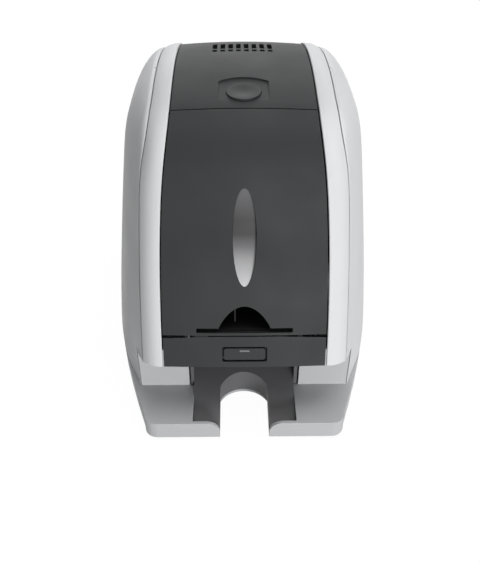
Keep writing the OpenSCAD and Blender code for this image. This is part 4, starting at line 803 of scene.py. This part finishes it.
# ---------------------------------------------------------------- the other CAD nodes, joined and rounded
# Material, slot and rounding of the edges in millimetres
FINISHES = {
    "lower_case": (CASE, "silver_paint", 0.9),
    "output_hopper": (LINER, "hopper_plastic", 0.5),
    "rubber_feet": (RUBBER, "rubber", 0.4),
    "base_screws": (STEEL, "steel", 0.15),
    "left_side_plate": (STEEL, "steel", 0.15),
    "right_side_plate": (STEEL, "steel", 0.15),
    "cross_bars": (STEEL, "steel", 0.2),
    "shaft_bushes": (ACETAL, "bush_plastic", 0.1),
    "card_guide_rails": (BLACK, "black_plastic", 0.2),
    "cover_hinge_frame": (BLACK, "black_plastic", 0.2),
    "hinge_pins": (BLACKENED, "shaft_steel", 0.1),
    "button_spring": (SHAFT, "shaft_steel", 0),
    "latch_hook": (STEEL, "steel", 0.15),
    "latch_bracket": (STEEL, "steel", 0.1),
    "control_button": (DARK_STRIP, "dark_plastic", 0.4),
    "light_bar": (LIGHT_PIPE, "light_pipe", 0.15),
    "button_board": (BOARD, "board", 0.1),
    "slot_guide": (BLACK, "black_plastic", 0.2),
    "sensor_lever": (BLACK, "bush_plastic", 0.1),
    "entry_roller": (FEED_RUBBER, "roller_rubber", 0.15),
    "mid_roller": (FEED_RUBBER, "roller_rubber", 0.15),
    "platen_roller": (RUBBER, "rubber", 0.15),
    "exit_roller": (FEED_RUBBER, "roller_rubber", 0.15),
    "pick_roller": (FEED_RUBBER, "roller_rubber", 0.15),
    "entry_pinch_roller": (SHAFT, "shaft_steel", 0.15),
    "cleaning_roller": (CLEAN_RUBBER, "cleaner_rubber", 0.15),
    "exit_pinch_roller": (SHAFT, "shaft_steel", 0.15),
    "drive_belts": (RUBBER, "rubber", 0.1),
    "drive_gear": (ACETAL, "gear_plastic", 0),
    "transport_motor": (MOTOR, "motor_black", 0.3),
    "motor_pinion": (BRASS, "brass", 0),
    "print_head": (ALUMINIUM, "aluminium", 0.15),
    "head_carriage": (STEEL, "steel", 0.2),
    "head_guide_posts": (SHAFT, "shaft_steel", 0.1),
    "head_cam_shaft": (SHAFT, "shaft_steel", 0.15),
    "ribbon_cassette": (CASSETTE, "cassette_plastic", 0.2),
    "supply_spool": (RIBBON, "ribbon", 0.15),
    "take_up_spool": (RIBBON, "ribbon", 0),
    "ribbon_film": (RIBBON, "ribbon", 0),
    "ribbon_motor": (MOTOR, "motor_black", 0.2),
    "ribbon_pinion": (BRASS, "brass", 0),
    "main_board": (BOARD, "board", 0.1),
    "power_supply": (STEEL, "steel", 0.2),
    "fan_housing": (BLACK, "black_plastic", 0.2),
    "fan_rotor": (BLACK, "black_plastic", 0.1),
    "rear_sockets": (STEEL, "steel", 0.2),
    "power_switch": (BLACK, "black_plastic", 0.25),
    "card_hopper": (LINER, "hopper_plastic", 0.4),
    "hopper_lid": (DARK, "dark_plastic", 0.5),
    "card_weight": (STEEL, "steel", 0.3),
}
for name, (material, slot, bevel) in FINISHES.items():
    place(refined(name, bevel), material, [name])

# The open button's stem is the CAD node below the cap
STEM_CUT_R, STEM_EDGE = 30, 0.2
stem = refined("open_button", 0)
carve(stem, [prism(circle_outline(STEM_CUT_R), CAP_LOW, CUT, S_DISH)])
finish_edges(stem, STEM_EDGE)
place(stem, DARK, ["open_button"])

# ---------------------------------------------------------------- room and light
FLOOR_HALF, FLOOR_LOW, FLOOR_TOP = 3000, -20, -0.02
# Share of the floor's own white in what is seen of it, and its strength. The rest keeps the shadow
FLOOR_WHITE, FLOOR_GLOW = 0.86, 1.13
# Each side the room lights from: axis, where it starts and is full on that axis, and its strength
ROOM_LOBES = (("Y", 0.1, -1.0, 0.24), ("X", -0.1, 1.0, 0.42), ("Y", -0.1, 1.0, 0.2))
AIM = (0, 0, 0.1)


def seen_directly(tree):
    """1 for rays from the camera, off a mirror finish or through a clear part, and 0 for the rest."""
    ray = add_node(tree, "ShaderNodeLightPath").outputs
    mirror = add_node(tree, "ShaderNodeMath", {0: ray["Is Glossy Ray"], 1: ray["Is Transmission Ray"]},
                      operation="MAXIMUM").outputs[0]
    return add_node(tree, "ShaderNodeMath", {0: ray["Is Camera Ray"], 1: mirror},
                    operation="MAXIMUM").outputs[0]


# The table is white paper to the eye, and a mid grey one to the light that it throws back
floor = new_mesh("floor", *block((-FLOOR_HALF, -FLOOR_HALF, FLOOR_LOW),
                                 (FLOOR_HALF, FLOOR_HALF, FLOOR_TOP)))
floor_material = bpy.data.materials.new("white_paper_sweep")
floor_material.use_nodes = True
tree = floor_material.node_tree
tree.nodes.clear()
shade = add_node(tree, "ShaderNodeBsdfDiffuse", {"Color": linear("#9c9c9c")})
glow = add_node(tree, "ShaderNodeEmission", {"Color": (1, 1, 1, 1), "Strength": FLOOR_GLOW})
part = add_node(tree, "ShaderNodeMath", {0: seen_directly(tree), 1: FLOOR_WHITE}, operation="MULTIPLY")
both = add_node(tree, "ShaderNodeMixShader", {0: part.outputs[0], 1: shade.outputs[0], 2: glow.outputs[0]})
add_node(tree, "ShaderNodeOutputMaterial", {"Surface": both.outputs[0]})
floor.data.materials.append(floor_material)

# The room lights the machine from the right, the front and the back, and stays dark at the left.
# Eye, mirror finish and glass see it white
world = bpy.data.worlds.new("studio")
world.use_nodes = True
tree = world.node_tree
tree.nodes.clear()
where = add_node(tree, "ShaderNodeTexCoord")
axes = add_node(tree, "ShaderNodeSeparateXYZ", {0: where.outputs["Generated"]}).outputs
room = 0.0
for axis, start, full, strength in ROOM_LOBES:
    lobe = add_node(tree, "ShaderNodeMapRange", {"Value": axes[axis], "From Min": start, "From Max": full,
                                                 "To Min": 0.0, "To Max": strength},
                    interpolation_type="SMOOTHSTEP")
    room = add_node(tree, "ShaderNodeMath", {0: lobe.outputs["Result"], 1: room},
                    operation="ADD").outputs[0]
bright = add_node(tree, "ShaderNodeMath", {0: room, 1: seen_directly(tree)}, operation="MAXIMUM")
sky = add_node(tree, "ShaderNodeBackground", {"Color": (1, 1, 1, 1), "Strength": bright.outputs[0]})
add_node(tree, "ShaderNodeOutputWorld", {"Surface": sky.outputs[0]})
scene.world = world


def softbox(name, at, size, power):
    """Rectangular area lamp at a place in metres, turned to face the machine."""
    data = bpy.data.lights.new(name, "AREA")
    data.shape, data.size, data.size_y, data.energy = "RECTANGLE", size[0], size[1], power
    lamp = bpy.data.objects.new(name, data)
    lamp.location = at
    x, y, z = np.array(AIM, float) - np.array(at, float)
    lamp.rotation_euler = (math.atan2(math.hypot(x, y), -z), 0, math.atan2(y, x) - math.pi / 2)
    scene.collection.objects.link(lamp)


softbox("low", (0.35, -1.3, 0.12), (0.5, 0.2), 10.4)
softbox("top", (0.2, -0.1, 1.5), (1.0, 1.0), 11.6)
softbox("back", (0, 1.5, 0.85), (1.6, 0.6), 8)

scene.view_settings.view_transform = "Standard"
